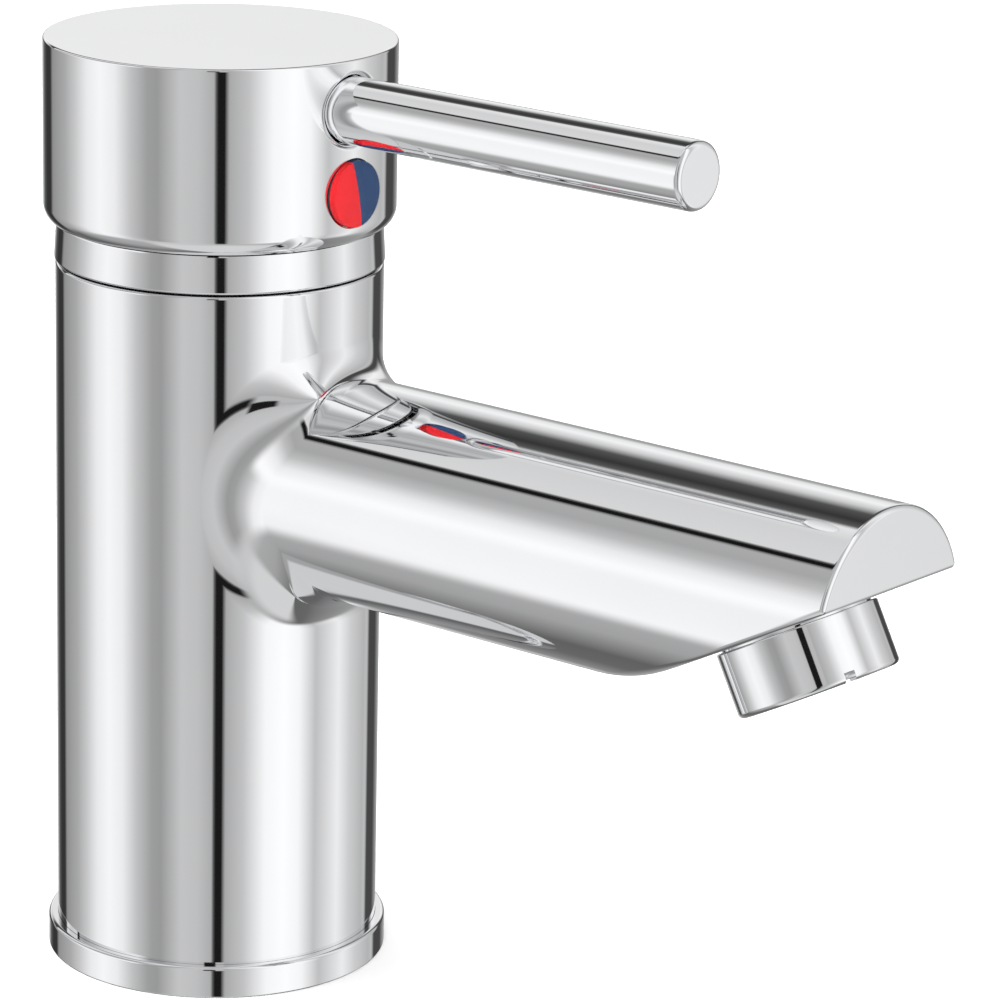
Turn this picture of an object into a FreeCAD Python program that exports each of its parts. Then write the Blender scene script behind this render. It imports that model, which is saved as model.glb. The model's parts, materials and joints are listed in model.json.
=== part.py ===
"""Single-lever basin mixer: cast body with spout, ceramic-disc cartridge, handle and aerator.

Frame: millimetres, +Z up, origin on the body's axis in the deck plane, +X along the spout.
The hot side is -Y and the cold side is +Y. The handle is modelled closed, pointing forwards.
"""
import FreeCAD, Part
import math
import os

V = FreeCAD.Vector

# ---------------------------------------------------------------- driving dimensions
# Column and base
body_diameter = 49.0
body_height = 108.0            # deck to the rim under the dome cover
body_rim_rounding = 0.5
chamber_wall = 3.0             # column wall around the mixed-water chamber
bridge_bottom = 14.0           # underside of the solid bridge that holds the inlets
bridge_thickness = 12.0
recess_wall = 5.5              # column wall around the recess under the bridge
base_overhang = 1.4            # base ring outside the column
base_ring_height = 4.87
base_ring_ledge = 3.0          # thickness of the ring under the column
base_ring_rounding = 0.6
base_seal_thickness = 1.6
base_seal_margin = 1.4         # base ring left on each side of the seal

# Inlets and fixing
inlet_x = 5.1
inlet_port_y = 6.1
inlet_thread_y = 7.6
inlet_thread_radius = 4.5      # M10 x 1
inlet_thread_length = 12.0
inlet_passage_radius = 2.8
inlet_tube_wall = 1.6
outlet_port_x = -6.5
outlet_port_radius = 4.0
stud_hole_x = -10.0
stud_hole_radius = 4.0         # M8
stud_hole_depth = 9.0
seat_plate_thickness = 5.0     # floor under the cartridge

# Spout
spout_diameter = 33.2
spout_drop = 30.4              # spout axis below the column's rim
spout_reach = 123.5            # column axis to the tip face
spout_root_fillet = 4.5
spout_wall = 3.2
cut_angle = 27.7               # slope of the oblique underside cut
tip_edge_rise = 4.85           # lower edge of the tip face above the spout axis
tip_rounding = 0.8

# Aerator, square to the cut
aerator_diameter = 23.5
aerator_length = 9.8           # from the cut to the outlet end
aerator_setback = 17.6         # tip edge to the aerator axis, along the cut
aerator_shoulder = 0.85        # step from the shell to its M22 x 1 thread
aerator_thread_wall = 0.85
aerator_thread_length = 7.0
aerator_shadow_gap = 0.6
aerator_lip = 0.9
aerator_lip_height = 1.4
aerator_rounding = 0.8
aerator_start_rounding = 0.3
aerator_boss_wall = 2.4
aerator_boss_floor = 1.5        # boss behind the socket
aerator_feed_step = 1.5         # feed hole inside the aerator's bore
aerator_gasket_thickness = 1.0
key_notch_width = 1.6
key_notch_depth = 1.5
key_notch_angle = 28.0         # about the aerator axis, from its rear side
grid_thickness = 1.5
grid_cell = 2.0                # across the flats of one cell
grid_web = 0.4
grid_margin = 0.2               # solid rim around the cells
core_start = 0.2                # mixing core's top, from the cut
core_floor = 1.6
core_wall = 1.2
core_jets = 12
core_jet_inset = 1.4            # core's wall to the circle of jets
core_jet_radius = 0.7
core_post_radius = 1.6
core_post_gap = 1.0             # post to the grid
strainer_height = 2.6
strainer_wall = 0.8
strainer_hole_radius = 0.8
strainer_circles = ((6, 0.3), (12, 0.55), (18, 0.8))   # holes, share of the strainer's radius
aerator_gasket_inset = 1.0      # washer's hole inside the aerator's bore

# Handle cap
cap_overhang = 1.74            # cap outside the column
cap_gap = 5.2                  # column rim to the cap's bottom edge
cap_lip_wall = 1.24
cap_wall = 2.74
cap_ceiling = 3.0
cap_bottom_rounding = 3.0
cap_top_rounding = 0.4
cap_lip_depth = 4.8            # height of the thin lip
below_index = 3.75             # cap's bottom edge to the index recess
index_to_lever = 1.9           # index recess to the lever pocket
above_lever = 2.15             # lever pocket to the cap's top
hub_wall = 2.77                # outside the corners of the spindle's socket
hub_below_screw = 2.2           # hub's end below the set screw

# Lever
lever_diameter = 10.0
lever_reach = 89.0             # column axis to the lever's end
lever_end_rounding = 0.9
lever_pocket_clearance = 0.3
lever_pocket_rounding = 0.8
lever_pocket_depth = 1.8
lever_stud_radius = 3.0        # M6
lever_stud_grip = 13.0         # stud length inside the lever
lever_stud_seat = 11.0         # stud length inside the cap
lever_hole_runout = 1.0         # thread beyond the stud's end
lever_boss_wall = 2.5

# Index button and set screw
index_diameter = 10.0
index_recess_depth = 2.9
index_plug_thickness = 2.6
index_colour_thickness = 0.8
index_rim = 0.5                # plug rim around the coloured halves
index_lens_rise = 1.2          # lens crown above the cap's surface
index_lens_edge = 0.35
index_stem_length = 3.0
index_turn = 12.0               # lean of the line between the colours
set_screw_radius = 2.5         # M5
set_screw_length = 8.0
set_screw_boss_wall = 2.0
set_screw_key = 2.5            # hexagon socket across the flats
set_screw_key_depth = 3.0
set_screw_nose_radius = 1.2
set_screw_nose_length = 0.7

# Dome cover
dome_clearance = 0.3           # dome to the cap's lip
dome_gap = 0.3                 # dome to the column's rim
dome_taper = 0.35
dome_shoulder_radius = 1.0
dome_shoulder_drop = 2.0        # height of the sloping top
dome_bottom_rounding = 0.4
dome_below_boss = 1.0           # dome to the cap's set-screw boss
dome_wall = 1.5
dome_opening_clearance = 5.0   # dome opening outside the cap's hub
dome_spigot_wall = 2.5
dome_seal_width = 1.5
dome_seal_thickness = 1.1

# Ceramic-disc cartridge, 35 mm across
disc_land = 0.351              # ceramic left outside the ports at full travel
fixed_disc_clearance = 0.1      # around the fixed disc
cartridge_wall = 1.8
cartridge_clearance = 0.35
pivot_depth = 3.0              # handle pivot below the column's rim
spindle_lean = 11.0            # forward lean of the closed spindle
spindle_lower_arm = 11.0       # pivot to the ball
spindle_square = 8.0
spindle_square_below = 4.0     # square part below the pivot
spindle_neck_radius = 2.4
spindle_chamfer = 0.6
spindle_below_stud = 1.7        # spindle's end to the lever stud
spindle_end_clearance = 0.4
ball_radius = 3.2
carrier_flange_inset = 0.2     # inside the edge of the moving disc
carrier_flange_height = 3.0
carrier_neck_radius = 7.5
carrier_below_ball = 4.0
carrier_above_ball_centre = 2.3
disc_thickness = 2.5
disc_rim_wall = 1.45           # rim around the fixed disc
mixing_recess_depth = 1.4
mixing_recess_front = 5.0      # radius of the front lobe
mixing_recess_back = 4.5       # radius of the back lobe
mixing_recess_waist = 8.0       # width between the lobes
cartridge_base_height = 3.0
locating_pin_radius = 1.7
locating_pin_length = 2.5
locating_pin_inset = 3.8       # from the cartridge's edge
port_seal_width = 1.8
port_seal_height = 1.8
port_seal_inset = 0.2           # seal's hole outside the port
guide_above_carrier = 0.5
guide_flange_height = 3.5
guide_collar_wall = 3.3        # beyond the ends of the slot
guide_collar_above_pivot = 5.0
guide_slot_clearance = 1.17    # slot end to the tilted spindle
spindle_pin_radius = 1.5
guide_oring_section = 1.5
housing_top_thickness = 1.7
housing_collar_wall = 2.5
housing_collar_height = 4.5
collar_clearance = 0.2          # turntable in the housing, and housing in the nut
nut_thread_step = 1.25         # M38 x 1 thread outside the cartridge's pocket
nut_thread_depth = 2.0         # nut below the column's rim
nut_hexagon_height = 3.5
nut_thread_relief = 2.0         # thread below the nut

# Fits
running_clearance = 0.05       # shafts that turn in a hole
sliding_clearance = 0.1        # flat sides and the ball in its socket
gap = 0.3                      # faces of moving pieces that only pass each other
assembly_clearance = 0.05      # fixed pieces that slip together
press_clearance = 0.02          # pressed or seated pieces
sunk = 1.0                      # how far one shape runs into another that it is joined to

# ---------------------------------------------------------------- places worked out from them
body_radius = body_diameter / 2
base_ring_radius = body_radius + base_overhang
recess_radius = body_radius - recess_wall
bridge_top = bridge_bottom + bridge_thickness
spout_radius = spout_diameter / 2
spout_z = body_height - spout_drop

pivot_z = body_height - pivot_depth
lean = math.radians(spindle_lean)
ball_z = pivot_z - spindle_lower_arm * math.cos(lean)
ball_x = -spindle_lower_arm * math.sin(lean)
carrier_bottom = ball_z - ball_radius - carrier_below_ball
carrier_top = ball_z + carrier_above_ball_centre
moving_disc_bottom = carrier_bottom - disc_thickness
fixed_disc_bottom = moving_disc_bottom - disc_thickness
seat_z = fixed_disc_bottom - cartridge_base_height
seat_plate_bottom = seat_z - seat_plate_thickness
guide_bottom = carrier_top + guide_above_carrier
guide_flange_top = guide_bottom + guide_flange_height
housing_ceiling = guide_flange_top + gap
housing_top = housing_ceiling + housing_top_thickness
nut_top = body_height - nut_thread_depth
port_reach = math.hypot(inlet_x, inlet_port_y) + inlet_passage_radius
moving_disc_radius = port_reach - ball_x + disc_land
housing_bore = moving_disc_radius - ball_x + gap
cartridge_radius = housing_bore + cartridge_wall
pocket_radius = cartridge_radius + cartridge_clearance
carrier_flange_radius = moving_disc_radius - carrier_flange_inset
fixed_disc_radius = housing_bore - assembly_clearance - disc_rim_wall - fixed_disc_clearance
locating_pin_y = cartridge_radius - locating_pin_inset
slot_at_collar_top = spindle_square / 2 / math.cos(lean) + guide_collar_above_pivot * math.tan(lean)
guide_slot_half_length = slot_at_collar_top + guide_slot_clearance
guide_collar_radius = guide_slot_half_length + guide_collar_wall
housing_opening = guide_collar_radius + collar_clearance
guide_oring_radius = (housing_opening + housing_bore - gap) / 2
nut_thread_radius = pocket_radius + nut_thread_step
dome_spigot_bore = nut_thread_radius - assembly_clearance - dome_spigot_wall
nut_hexagon = (dome_spigot_bore - gap) * math.sqrt(3)

cap_radius = body_radius + cap_overhang
cap_bottom = body_height + cap_gap
cap_lip_bore = cap_radius - cap_lip_wall
cap_bore = cap_radius - cap_wall
index_recess_radius = index_diameter / 2 + assembly_clearance
lever_radius = lever_diameter / 2
lever_pocket_radius = lever_radius + lever_pocket_clearance
index_z = cap_bottom + below_index + index_recess_radius
lever_z = index_z + index_recess_radius + index_to_lever + lever_pocket_radius
cap_top = lever_z + lever_pocket_radius + above_lever
cap_ceiling_z = cap_top - cap_ceiling
lever_seat_x = cap_radius - lever_pocket_depth
index_seat_x = cap_radius - index_recess_depth

set_screw_boss_radius = set_screw_radius + set_screw_boss_wall
hub_radius = (spindle_square / 2 + assembly_clearance) * math.sqrt(2) + hub_wall
dome_opening_radius = hub_radius + dome_opening_clearance
dome_base_radius = cap_lip_bore - dome_clearance
dome_bottom = body_height + dome_gap
dome_top = index_z - set_screw_boss_radius - dome_below_boss
spindle_upper_arm = (lever_z - lever_stud_radius - spindle_below_stud - pivot_z) / math.cos(lean)
hub_start = (index_z - pivot_z) / math.cos(lean) - set_screw_radius - hub_below_screw

tip_edge_z = spout_z + tip_edge_rise
slope = math.radians(cut_angle)
aerator_radius = aerator_diameter / 2
aerator_thread_radius = aerator_radius - aerator_shoulder
aerator_bore = aerator_thread_radius - aerator_thread_wall
aerator_socket_depth = aerator_thread_length + aerator_gasket_thickness

# The spindle's own frame stands on the pivot and leans forwards.
spindle_frame = FreeCAD.Placement(V(0, 0, pivot_z), FreeCAD.Rotation(V(0, 1, 0), spindle_lean))
# The aerator's own frame has +Z along the outlet direction, from the cut's surface.
aerator_origin = V(
    spout_reach - aerator_setback * math.cos(slope), 0, tip_edge_z - aerator_setback * math.sin(slope)
)
aerator_frame = FreeCAD.Placement(aerator_origin, FreeCAD.Rotation(V(0, 1, 0), 180 - cut_angle))


# ---------------------------------------------------------------- small shape helpers
def disc(radius, bottom, top, x=0.0, y=0.0):
    """A vertical cylinder between two heights."""
    return Part.makeCylinder(radius, top - bottom, V(x, y, bottom))


def ring(outer, inner, bottom, top, x=0.0, y=0.0):
    """A vertical tube between two heights."""
    return disc(outer, bottom, top, x, y).cut(disc(inner, bottom, top, x, y))


def bar(radius, start_x, end_x, z):
    """A cylinder along X on the middle plane."""
    return Part.makeCylinder(radius, end_x - start_x, V(start_x, 0, z), V(1, 0, 0))


def block(x_half, y_half, bottom, top):
    """A box centred on the Z axis."""
    return Part.makeBox(2 * x_half, 2 * y_half, top - bottom, V(-x_half, -y_half, bottom))


def hexagon(across_flats, bottom, top):
    """A hexagonal prism on the Z axis, with flats facing +X and -X."""
    corner = across_flats / math.sqrt(3)
    angles = [math.radians(30 + 60 * k) for k in range(7)]
    points = [V(corner * math.cos(a), corner * math.sin(a), bottom) for a in angles]
    return Part.Face(Part.makePolygon(points)).extrude(V(0, 0, top - bottom))


def turned(points):
    """A solid of revolution about Z from a closed profile of (radius, height) points."""
    outline = [V(r, 0, z) for r, z in points]
    outline.append(outline[0])
    return Part.Face(Part.makePolygon(outline)).revolve(V(0, 0, 0), V(0, 0, 1), 360)


def without(shape, *tools):
    """The shape with every tool cut from it."""
    for tool in tools:
        shape = shape.cut(tool)
    return shape


def joined(shape, *others):
    """The shapes fused into one, with the seams between them removed."""
    for other in others:
        shape = shape.fuse(other)
    return shape.removeSplitter()


def placed(shape, frame):
    """The shape moved from a sub-assembly's own frame to the mixer's frame."""
    moved = shape.copy()
    moved.Placement = frame.multiply(moved.Placement)
    return moved


def middle(edge):
    """The point halfway along an edge."""
    return edge.valueAt((edge.FirstParameter + edge.LastParameter) / 2)


def rounded(shape, radius, chosen):
    """The shape with a fillet on each edge whose middle point passes the test."""
    edges = [edge for edge in shape.Edges if chosen(middle(edge))]
    return shape.makeFillet(radius, edges)


# ---------------------------------------------------------------- body and base
def spout_skin():
    """The outside of the column and spout, with the blend, the oblique cut and the tip."""
    column = disc(body_radius, base_ring_ledge, body_height)
    skin = column.fuse(bar(spout_radius, 0, spout_reach, spout_z))

    def on_root(p):
        on_column = abs(math.hypot(p.x, p.y) - body_radius) < 0.01
        on_spout = abs(math.hypot(p.y, p.z - spout_z) - spout_radius) < 0.01
        return on_column and on_spout

    skin = rounded(skin, spout_root_fillet, on_root)
    skin = skin.cut(below_cut(0))

    def on_tip(p):
        on_end = abs(p.x - spout_reach) < 0.01
        height = (p.z - tip_edge_z) - (p.x - spout_reach) * math.tan(slope)
        on_cut = abs(height) < 0.01 and p.x > body_radius + spout_root_fillet
        return on_end or on_cut

    return rounded(skin, tip_rounding, on_tip)


def cut_frame(inset):
    """A frame on the oblique cut at the tip edge, +Z outwards, moved inwards by the inset."""
    outwards = V(math.sin(slope), 0, -math.cos(slope))
    origin = V(spout_reach, 0, tip_edge_z) - outwards * inset
    return FreeCAD.Placement(origin, FreeCAD.Rotation(V(0, 1, 0), 180 - cut_angle))


def below_cut(inset):
    """Everything under the oblique cut, moved inwards by the inset, beyond the column's blend."""
    length = 2 * spout_reach
    half_width = spout_diameter
    slab = Part.makeBox(length, 2 * half_width, length, V(-length / 2, -half_width, 0))
    start = body_radius + spout_root_fillet
    beyond = Part.makeBox(length, 2 * half_width, 2 * body_height, V(start, -half_width, 0))
    return placed(slab, cut_frame(inset)).common(beyond)


def waterways():
    """The hollow for mixed water: the column's chamber and the spout's bore."""
    chamber = disc(body_radius - chamber_wall, bridge_top, seat_plate_bottom)
    bore = bar(spout_radius - spout_wall, 0, spout_reach - spout_wall, spout_z)
    bore = bore.cut(below_cut(spout_wall))
    cartridge_wall_radius = pocket_radius + chamber_wall
    bore = bore.cut(disc(cartridge_wall_radius, seat_plate_bottom, body_height))
    return chamber.fuse(bore)


def spout_body():
    """The cast body: column, spout, inlet passages, cartridge pocket and aerator socket."""
    skin = spout_skin()
    hollow = waterways()
    boss_depth = aerator_socket_depth + aerator_boss_floor
    boss = disc(aerator_thread_radius + aerator_boss_wall, -boss_depth, 0)
    hollow = hollow.cut(placed(boss, aerator_frame))
    for side in (-1, 1):
        tube = disc(
            inlet_passage_radius + inlet_tube_wall,
            bridge_top - sunk,
            seat_z,
            inlet_x,
            side * inlet_port_y,
        )
        hollow = hollow.cut(tube)
    body = skin.cut(hollow)
    body = body.cut(disc(recess_radius, 0, bridge_bottom))
    for side in (-1, 1):
        thread = disc(
            inlet_thread_radius,
            bridge_bottom,
            bridge_bottom + inlet_thread_length,
            inlet_x,
            side * inlet_thread_y,
        )
        passage = disc(inlet_passage_radius, bridge_bottom, seat_z, inlet_x, side * inlet_port_y)
        pin_hole = disc(
            locating_pin_radius + assembly_clearance,
            seat_z - locating_pin_length - gap,
            seat_z,
            0,
            side * locating_pin_y,
        )
        body = without(body, thread, passage, pin_hole)
    outlet = disc(outlet_port_radius, seat_plate_bottom - sunk, seat_z, outlet_port_x)
    pocket = disc(pocket_radius, seat_z, body_height)
    nut_thread = disc(nut_thread_radius + assembly_clearance, housing_top - nut_thread_relief, body_height)
    stud_hole = disc(stud_hole_radius, bridge_bottom, bridge_bottom + stud_hole_depth, stud_hole_x)
    socket = disc(aerator_thread_radius + assembly_clearance, -aerator_socket_depth, sunk)
    feed = disc(aerator_bore - aerator_feed_step, -boss_depth - sunk, 0)
    outlet_bore = placed(socket.fuse(feed), aerator_frame)
    body = without(body, outlet, pocket, nut_thread, stud_hole, outlet_bore)

    def on_rim(p):
        return abs(p.z - body_height) < 0.01 and math.hypot(p.x, p.y) > body_radius - 0.1

    return rounded(body, body_rim_rounding, on_rim)


def base_ring():
    """The chromed flange under the column, with the seal's groove below."""
    shape = ring(base_ring_radius, recess_radius, 0, base_ring_height)
    seat = disc(body_radius + assembly_clearance, base_ring_ledge, base_ring_height)
    outer, inner = base_seal_radii()
    shape = without(shape, seat, ring(outer, inner, 0, base_seal_thickness))

    def on_top_edge(p):
        return p.z > base_ring_height - 0.01 and math.hypot(p.x, p.y) > base_ring_radius - 0.1

    return rounded(shape, base_ring_rounding, on_top_edge)


def base_seal_radii():
    """Outer and inner radius of the seal under the base ring."""
    return base_ring_radius - base_seal_margin, recess_radius + base_seal_margin


def base_seal():
    """The flat rubber seal between the base ring and the deck."""
    outer, inner = base_seal_radii()
    return ring(outer, inner, 0, base_seal_thickness)


# ---------------------------------------------------------------- dome cover
def dome_seal_middle():
    """Radius of the middle of the seal, halfway across the column's rim."""
    return (nut_thread_radius + body_radius) / 2


def dome_cover():
    """The collar between the column and the handle cap, closed over the cartridge."""
    top_radius = dome_base_radius - dome_taper
    shoulder_z = dome_top - dome_shoulder_drop
    outside = turned([
        (0, dome_bottom),
        (dome_base_radius, dome_bottom),
        (top_radius, shoulder_z),
        (dome_opening_radius, dome_top),
        (0, dome_top),
    ])

    def on_shoulder(p):
        return abs(math.hypot(p.x, p.y) - top_radius) < 0.01 and abs(p.z - shoulder_z) < 0.01

    def on_bottom(p):
        return abs(math.hypot(p.x, p.y) - dome_base_radius) < 0.01 and p.z < dome_bottom + 0.01

    outside = rounded(outside, dome_shoulder_radius, on_shoulder)
    outside = rounded(outside, dome_bottom_rounding, on_bottom)
    floor_z = dome_bottom + dome_wall
    inside = turned([
        (0, floor_z),
        (dome_base_radius - 2 * dome_wall, floor_z),
        (top_radius - 2 * dome_wall, shoulder_z - dome_wall),
        (dome_opening_radius, dome_top - dome_wall),
        (0, dome_top - dome_wall),
    ])
    spigot_outer = nut_thread_radius - assembly_clearance
    spigot = ring(spigot_outer, dome_spigot_bore, nut_top, floor_z)
    shape = joined(outside.cut(inside), spigot)
    middle_radius = dome_seal_middle()
    groove = ring(
        middle_radius + dome_seal_width / 2,
        middle_radius - dome_seal_width / 2,
        body_height,
        body_height + dome_seal_thickness,
    )
    through = disc(dome_spigot_bore, 0, floor_z)
    opening = disc(dome_opening_radius, 0, dome_top)
    return without(shape, groove, through, opening)


def dome_seal():
    """The ring that seals the dome cover on the column's rim."""
    middle_radius = dome_seal_middle()
    return ring(
        middle_radius + dome_seal_width / 2,
        middle_radius - dome_seal_width / 2,
        body_height,
        body_height + dome_seal_thickness,
    )


# ---------------------------------------------------------------- cartridge, fixed pieces
def cartridge_nut():
    """The threaded ring with a hexagon that clamps the cartridge."""
    threaded = disc(nut_thread_radius, housing_top, nut_top)
    head = hexagon(nut_hexagon, nut_top, nut_top + nut_hexagon_height)
    hole_radius = housing_opening + housing_collar_wall + collar_clearance
    hole = disc(hole_radius, housing_top, nut_top + nut_hexagon_height)
    return joined(threaded, head).cut(hole)


def cartridge_housing():
    """The plastic shell over the discs, with a collar around the turntable."""
    shell = ring(cartridge_radius, housing_bore, fixed_disc_bottom, housing_ceiling)
    top = ring(cartridge_radius, housing_opening, housing_ceiling, housing_top)
    collar = ring(
        housing_opening + housing_collar_wall,
        housing_opening,
        housing_top,
        housing_top + housing_collar_height,
    )
    return joined(shell, top, collar)


def ports():
    """Centre and radius of the hot, cold and outlet ports."""
    return [
        (inlet_x, -inlet_port_y, inlet_passage_radius),
        (inlet_x, inlet_port_y, inlet_passage_radius),
        (outlet_port_x, 0, outlet_port_radius),
    ]


def cartridge_base():
    """The plastic base with three ports, seal pockets, two locating pins and a disc rim."""
    plate = disc(cartridge_radius, seat_z, fixed_disc_bottom)
    rim_outer = housing_bore - assembly_clearance
    rim_inner = rim_outer - disc_rim_wall
    shape = joined(plate, ring(rim_outer, rim_inner, fixed_disc_bottom, moving_disc_bottom - gap))
    for side in (-1, 1):
        pin = disc(locating_pin_radius, seat_z - locating_pin_length, seat_z, 0, side * locating_pin_y)
        shape = shape.fuse(pin)
    for x, y, radius in ports():
        hole = disc(radius, seat_z, fixed_disc_bottom, x, y)
        pocket = disc(radius + port_seal_width, seat_z, seat_z + port_seal_height, x, y)
        shape = without(shape, hole, pocket)
    return shape


def port_seals():
    """The three rubber rings under the cartridge base."""
    rings = []
    for x, y, radius in ports():
        outer = radius + port_seal_width - assembly_clearance
        rings.append(ring(outer, radius + port_seal_inset, seat_z, seat_z + port_seal_height, x, y))
    return Part.makeCompound(rings)


def fixed_disc():
    """The ceramic disc with the two inlet ports and the outlet port."""
    shape = disc(fixed_disc_radius, fixed_disc_bottom, moving_disc_bottom)
    for x, y, radius in ports():
        shape = shape.cut(disc(radius, fixed_disc_bottom, moving_disc_bottom, x, y))
    return shape


# ---------------------------------------------------------------- cartridge, moving pieces
def moving_disc():
    """The ceramic disc whose mixing recess joins the inlets to the outlet when it slides."""
    shape = disc(moving_disc_radius, moving_disc_bottom, carrier_bottom, ball_x)
    recess_top = moving_disc_bottom + mixing_recess_depth
    front = disc(mixing_recess_front, moving_disc_bottom, recess_top, 0)
    back_x = outlet_port_x + ball_x / 2
    back = disc(mixing_recess_back, moving_disc_bottom, recess_top, back_x)
    corner = V(back_x, -mixing_recess_waist / 2, moving_disc_bottom)
    bridge = Part.makeBox(-back_x, mixing_recess_waist, mixing_recess_depth, corner)
    return without(shape, joined(front, back, bridge))


def disc_carrier():
    """The plastic carrier on the moving disc, with the socket for the spindle's ball."""
    flange_top = carrier_bottom + carrier_flange_height
    flange = disc(carrier_flange_radius, carrier_bottom, flange_top, ball_x)
    neck = disc(carrier_neck_radius, flange_top, carrier_top, ball_x)
    socket_bottom = ball_z - ball_radius - gap
    socket = disc(ball_radius + sliding_clearance, socket_bottom, carrier_top, ball_x)
    return joined(flange, neck).cut(socket)


def spindle_guide():
    """The turntable that turns with the handle and holds the spindle's pin."""
    flange = disc(housing_bore - gap, guide_bottom, guide_flange_top)
    collar = disc(guide_collar_radius, guide_flange_top, pivot_z + guide_collar_above_pivot)
    slot = block(
        guide_slot_half_length,
        spindle_square / 2 + sliding_clearance,
        guide_bottom,
        pivot_z + guide_collar_above_pivot,
    )
    pin_hole = Part.makeCylinder(
        spindle_pin_radius + press_clearance,
        2 * guide_collar_radius,
        V(0, -guide_collar_radius, pivot_z),
        V(0, 1, 0),
    )
    groove = ring(
        guide_oring_radius + guide_oring_section / 2,
        guide_oring_radius - guide_oring_section / 2,
        guide_flange_top - guide_oring_section,
        guide_flange_top,
    )
    return without(joined(flange, collar), slot, pin_hole, groove)


def guide_oring():
    """The O-ring in the turntable's top face."""
    centre = V(0, 0, guide_flange_top - guide_oring_section / 2)
    return Part.makeTorus(guide_oring_radius, guide_oring_section / 2 - press_clearance, centre)


def spindle_pin():
    """The steel pin that the spindle tilts on."""
    half = guide_collar_radius - gap
    return Part.makeCylinder(spindle_pin_radius, 2 * half, V(0, -half, pivot_z), V(0, 1, 0))


def spindle():
    """The square lever spindle with its pin hole, neck and ball end."""
    half = spindle_square / 2
    square = block(half, half, -spindle_square_below, spindle_upper_arm)
    neck = disc(spindle_neck_radius, -spindle_lower_arm, -spindle_square_below)
    ball = Part.makeSphere(ball_radius, V(0, 0, -spindle_lower_arm))
    hole = Part.makeCylinder(
        spindle_pin_radius + running_clearance, spindle_square, V(0, -half, 0), V(0, 1, 0)
    )
    shape = joined(square, neck, ball)
    shape = shape.cut(hole)
    top_edges = [e for e in shape.Edges if middle(e).z > spindle_upper_arm - 0.01]
    shape = shape.makeChamfer(spindle_chamfer, top_edges)
    return placed(shape, spindle_frame)


# ---------------------------------------------------------------- handle
def handle_cap():
    """The chromed cap with its hub, lever boss, set-screw boss and index recess."""
    outside = disc(cap_radius, cap_bottom, cap_top)

    def on_bottom(p):
        return p.z < cap_bottom + 0.01

    def on_top(p):
        return p.z > cap_top - 0.01

    outside = rounded(outside, cap_bottom_rounding, on_bottom)
    outside = rounded(outside, cap_top_rounding, on_top)
    lip = disc(cap_lip_bore, cap_bottom, cap_bottom + cap_lip_depth)
    bore = disc(cap_bore, cap_bottom, cap_ceiling_z)
    shell = without(outside, lip, bore)
    hub_length = (cap_top - pivot_z) / math.cos(lean)
    hub = placed(disc(hub_radius, hub_start, hub_length), spindle_frame)
    hub = hub.common(disc(cap_bore, cap_bottom, cap_ceiling_z + sunk))
    boss_end = (cap_bore + cap_radius) / 2
    lever_boss = bar(lever_stud_radius + lever_boss_wall, 0, boss_end, lever_z)
    screw_boss = bar(set_screw_boss_radius, hub_radius, boss_end, index_z)
    ceiling_side = disc(boss_end, cap_bottom, cap_ceiling_z + sunk)
    shell = joined(shell, hub, lever_boss.common(ceiling_side), screw_boss.common(ceiling_side))
    half = spindle_square / 2 + assembly_clearance
    socket = block(half, half, hub_start - sunk, spindle_upper_arm + spindle_end_clearance)
    socket = placed(socket, spindle_frame)
    lever_pocket = bar(lever_pocket_radius, lever_seat_x, cap_radius + sunk, lever_z)
    lever_hole = bar(lever_stud_radius, lever_seat_x - lever_stud_seat, cap_radius, lever_z)
    index_recess = bar(index_recess_radius, index_seat_x, cap_radius + sunk, index_z)
    screw_hole = bar(set_screw_radius, 0, cap_radius, index_z)
    cap = without(shell, socket, lever_pocket, lever_hole, index_recess, screw_hole)

    def on_pocket(p):
        on_cap = abs(math.hypot(p.x, p.y) - cap_radius) < 0.01
        return on_cap and abs(math.hypot(p.y, p.z - lever_z) - lever_pocket_radius) < 0.01

    return rounded(cap, lever_pocket_rounding, on_pocket)


def lever_rod():
    """The straight round lever with its threaded hole."""
    shape = bar(lever_radius, lever_seat_x, lever_reach, lever_z)

    def on_end(p):
        return p.x > lever_reach - 0.01

    shape = rounded(shape, lever_end_rounding, on_end)
    hole_end = lever_seat_x + lever_stud_grip + lever_hole_runout
    return shape.cut(bar(lever_stud_radius, lever_seat_x, hole_end, lever_z))


def lever_stud():
    """The threaded stud that joins the lever and the cap."""
    return bar(lever_stud_radius, lever_seat_x - lever_stud_seat, lever_seat_x + lever_stud_grip, lever_z)


def set_screw():
    """The grub screw behind the index button, tightened on the spindle."""
    reach = index_z + set_screw_nose_radius - pivot_z
    face_x = reach * math.tan(lean) + spindle_square / 2 / math.cos(lean)
    nose_x = face_x + press_clearance
    body_x = face_x + set_screw_nose_length
    end_x = nose_x + set_screw_length
    nose = bar(set_screw_nose_radius, nose_x, body_x, index_z)
    shape = joined(nose, bar(set_screw_radius - press_clearance, body_x, end_x, index_z))
    end_frame = FreeCAD.Placement(V(end_x, 0, index_z), FreeCAD.Rotation(V(0, 1, 0), 90))
    return shape.cut(placed(hexagon(set_screw_key, -set_screw_key_depth, 0), end_frame))


def index_plug():
    """The dark plastic seat of the index button, with a stem in the screw hole."""
    seat_top = index_seat_x + index_plug_thickness
    colour_top = seat_top + index_colour_thickness
    shape = bar(index_diameter / 2, index_seat_x, colour_top, index_z)
    well = bar(index_diameter / 2 - index_rim, seat_top, colour_top, index_z)
    stem_radius = set_screw_radius - sliding_clearance
    stem = bar(stem_radius, index_seat_x - index_stem_length, index_seat_x, index_z)
    return joined(shape.cut(well), stem)


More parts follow.
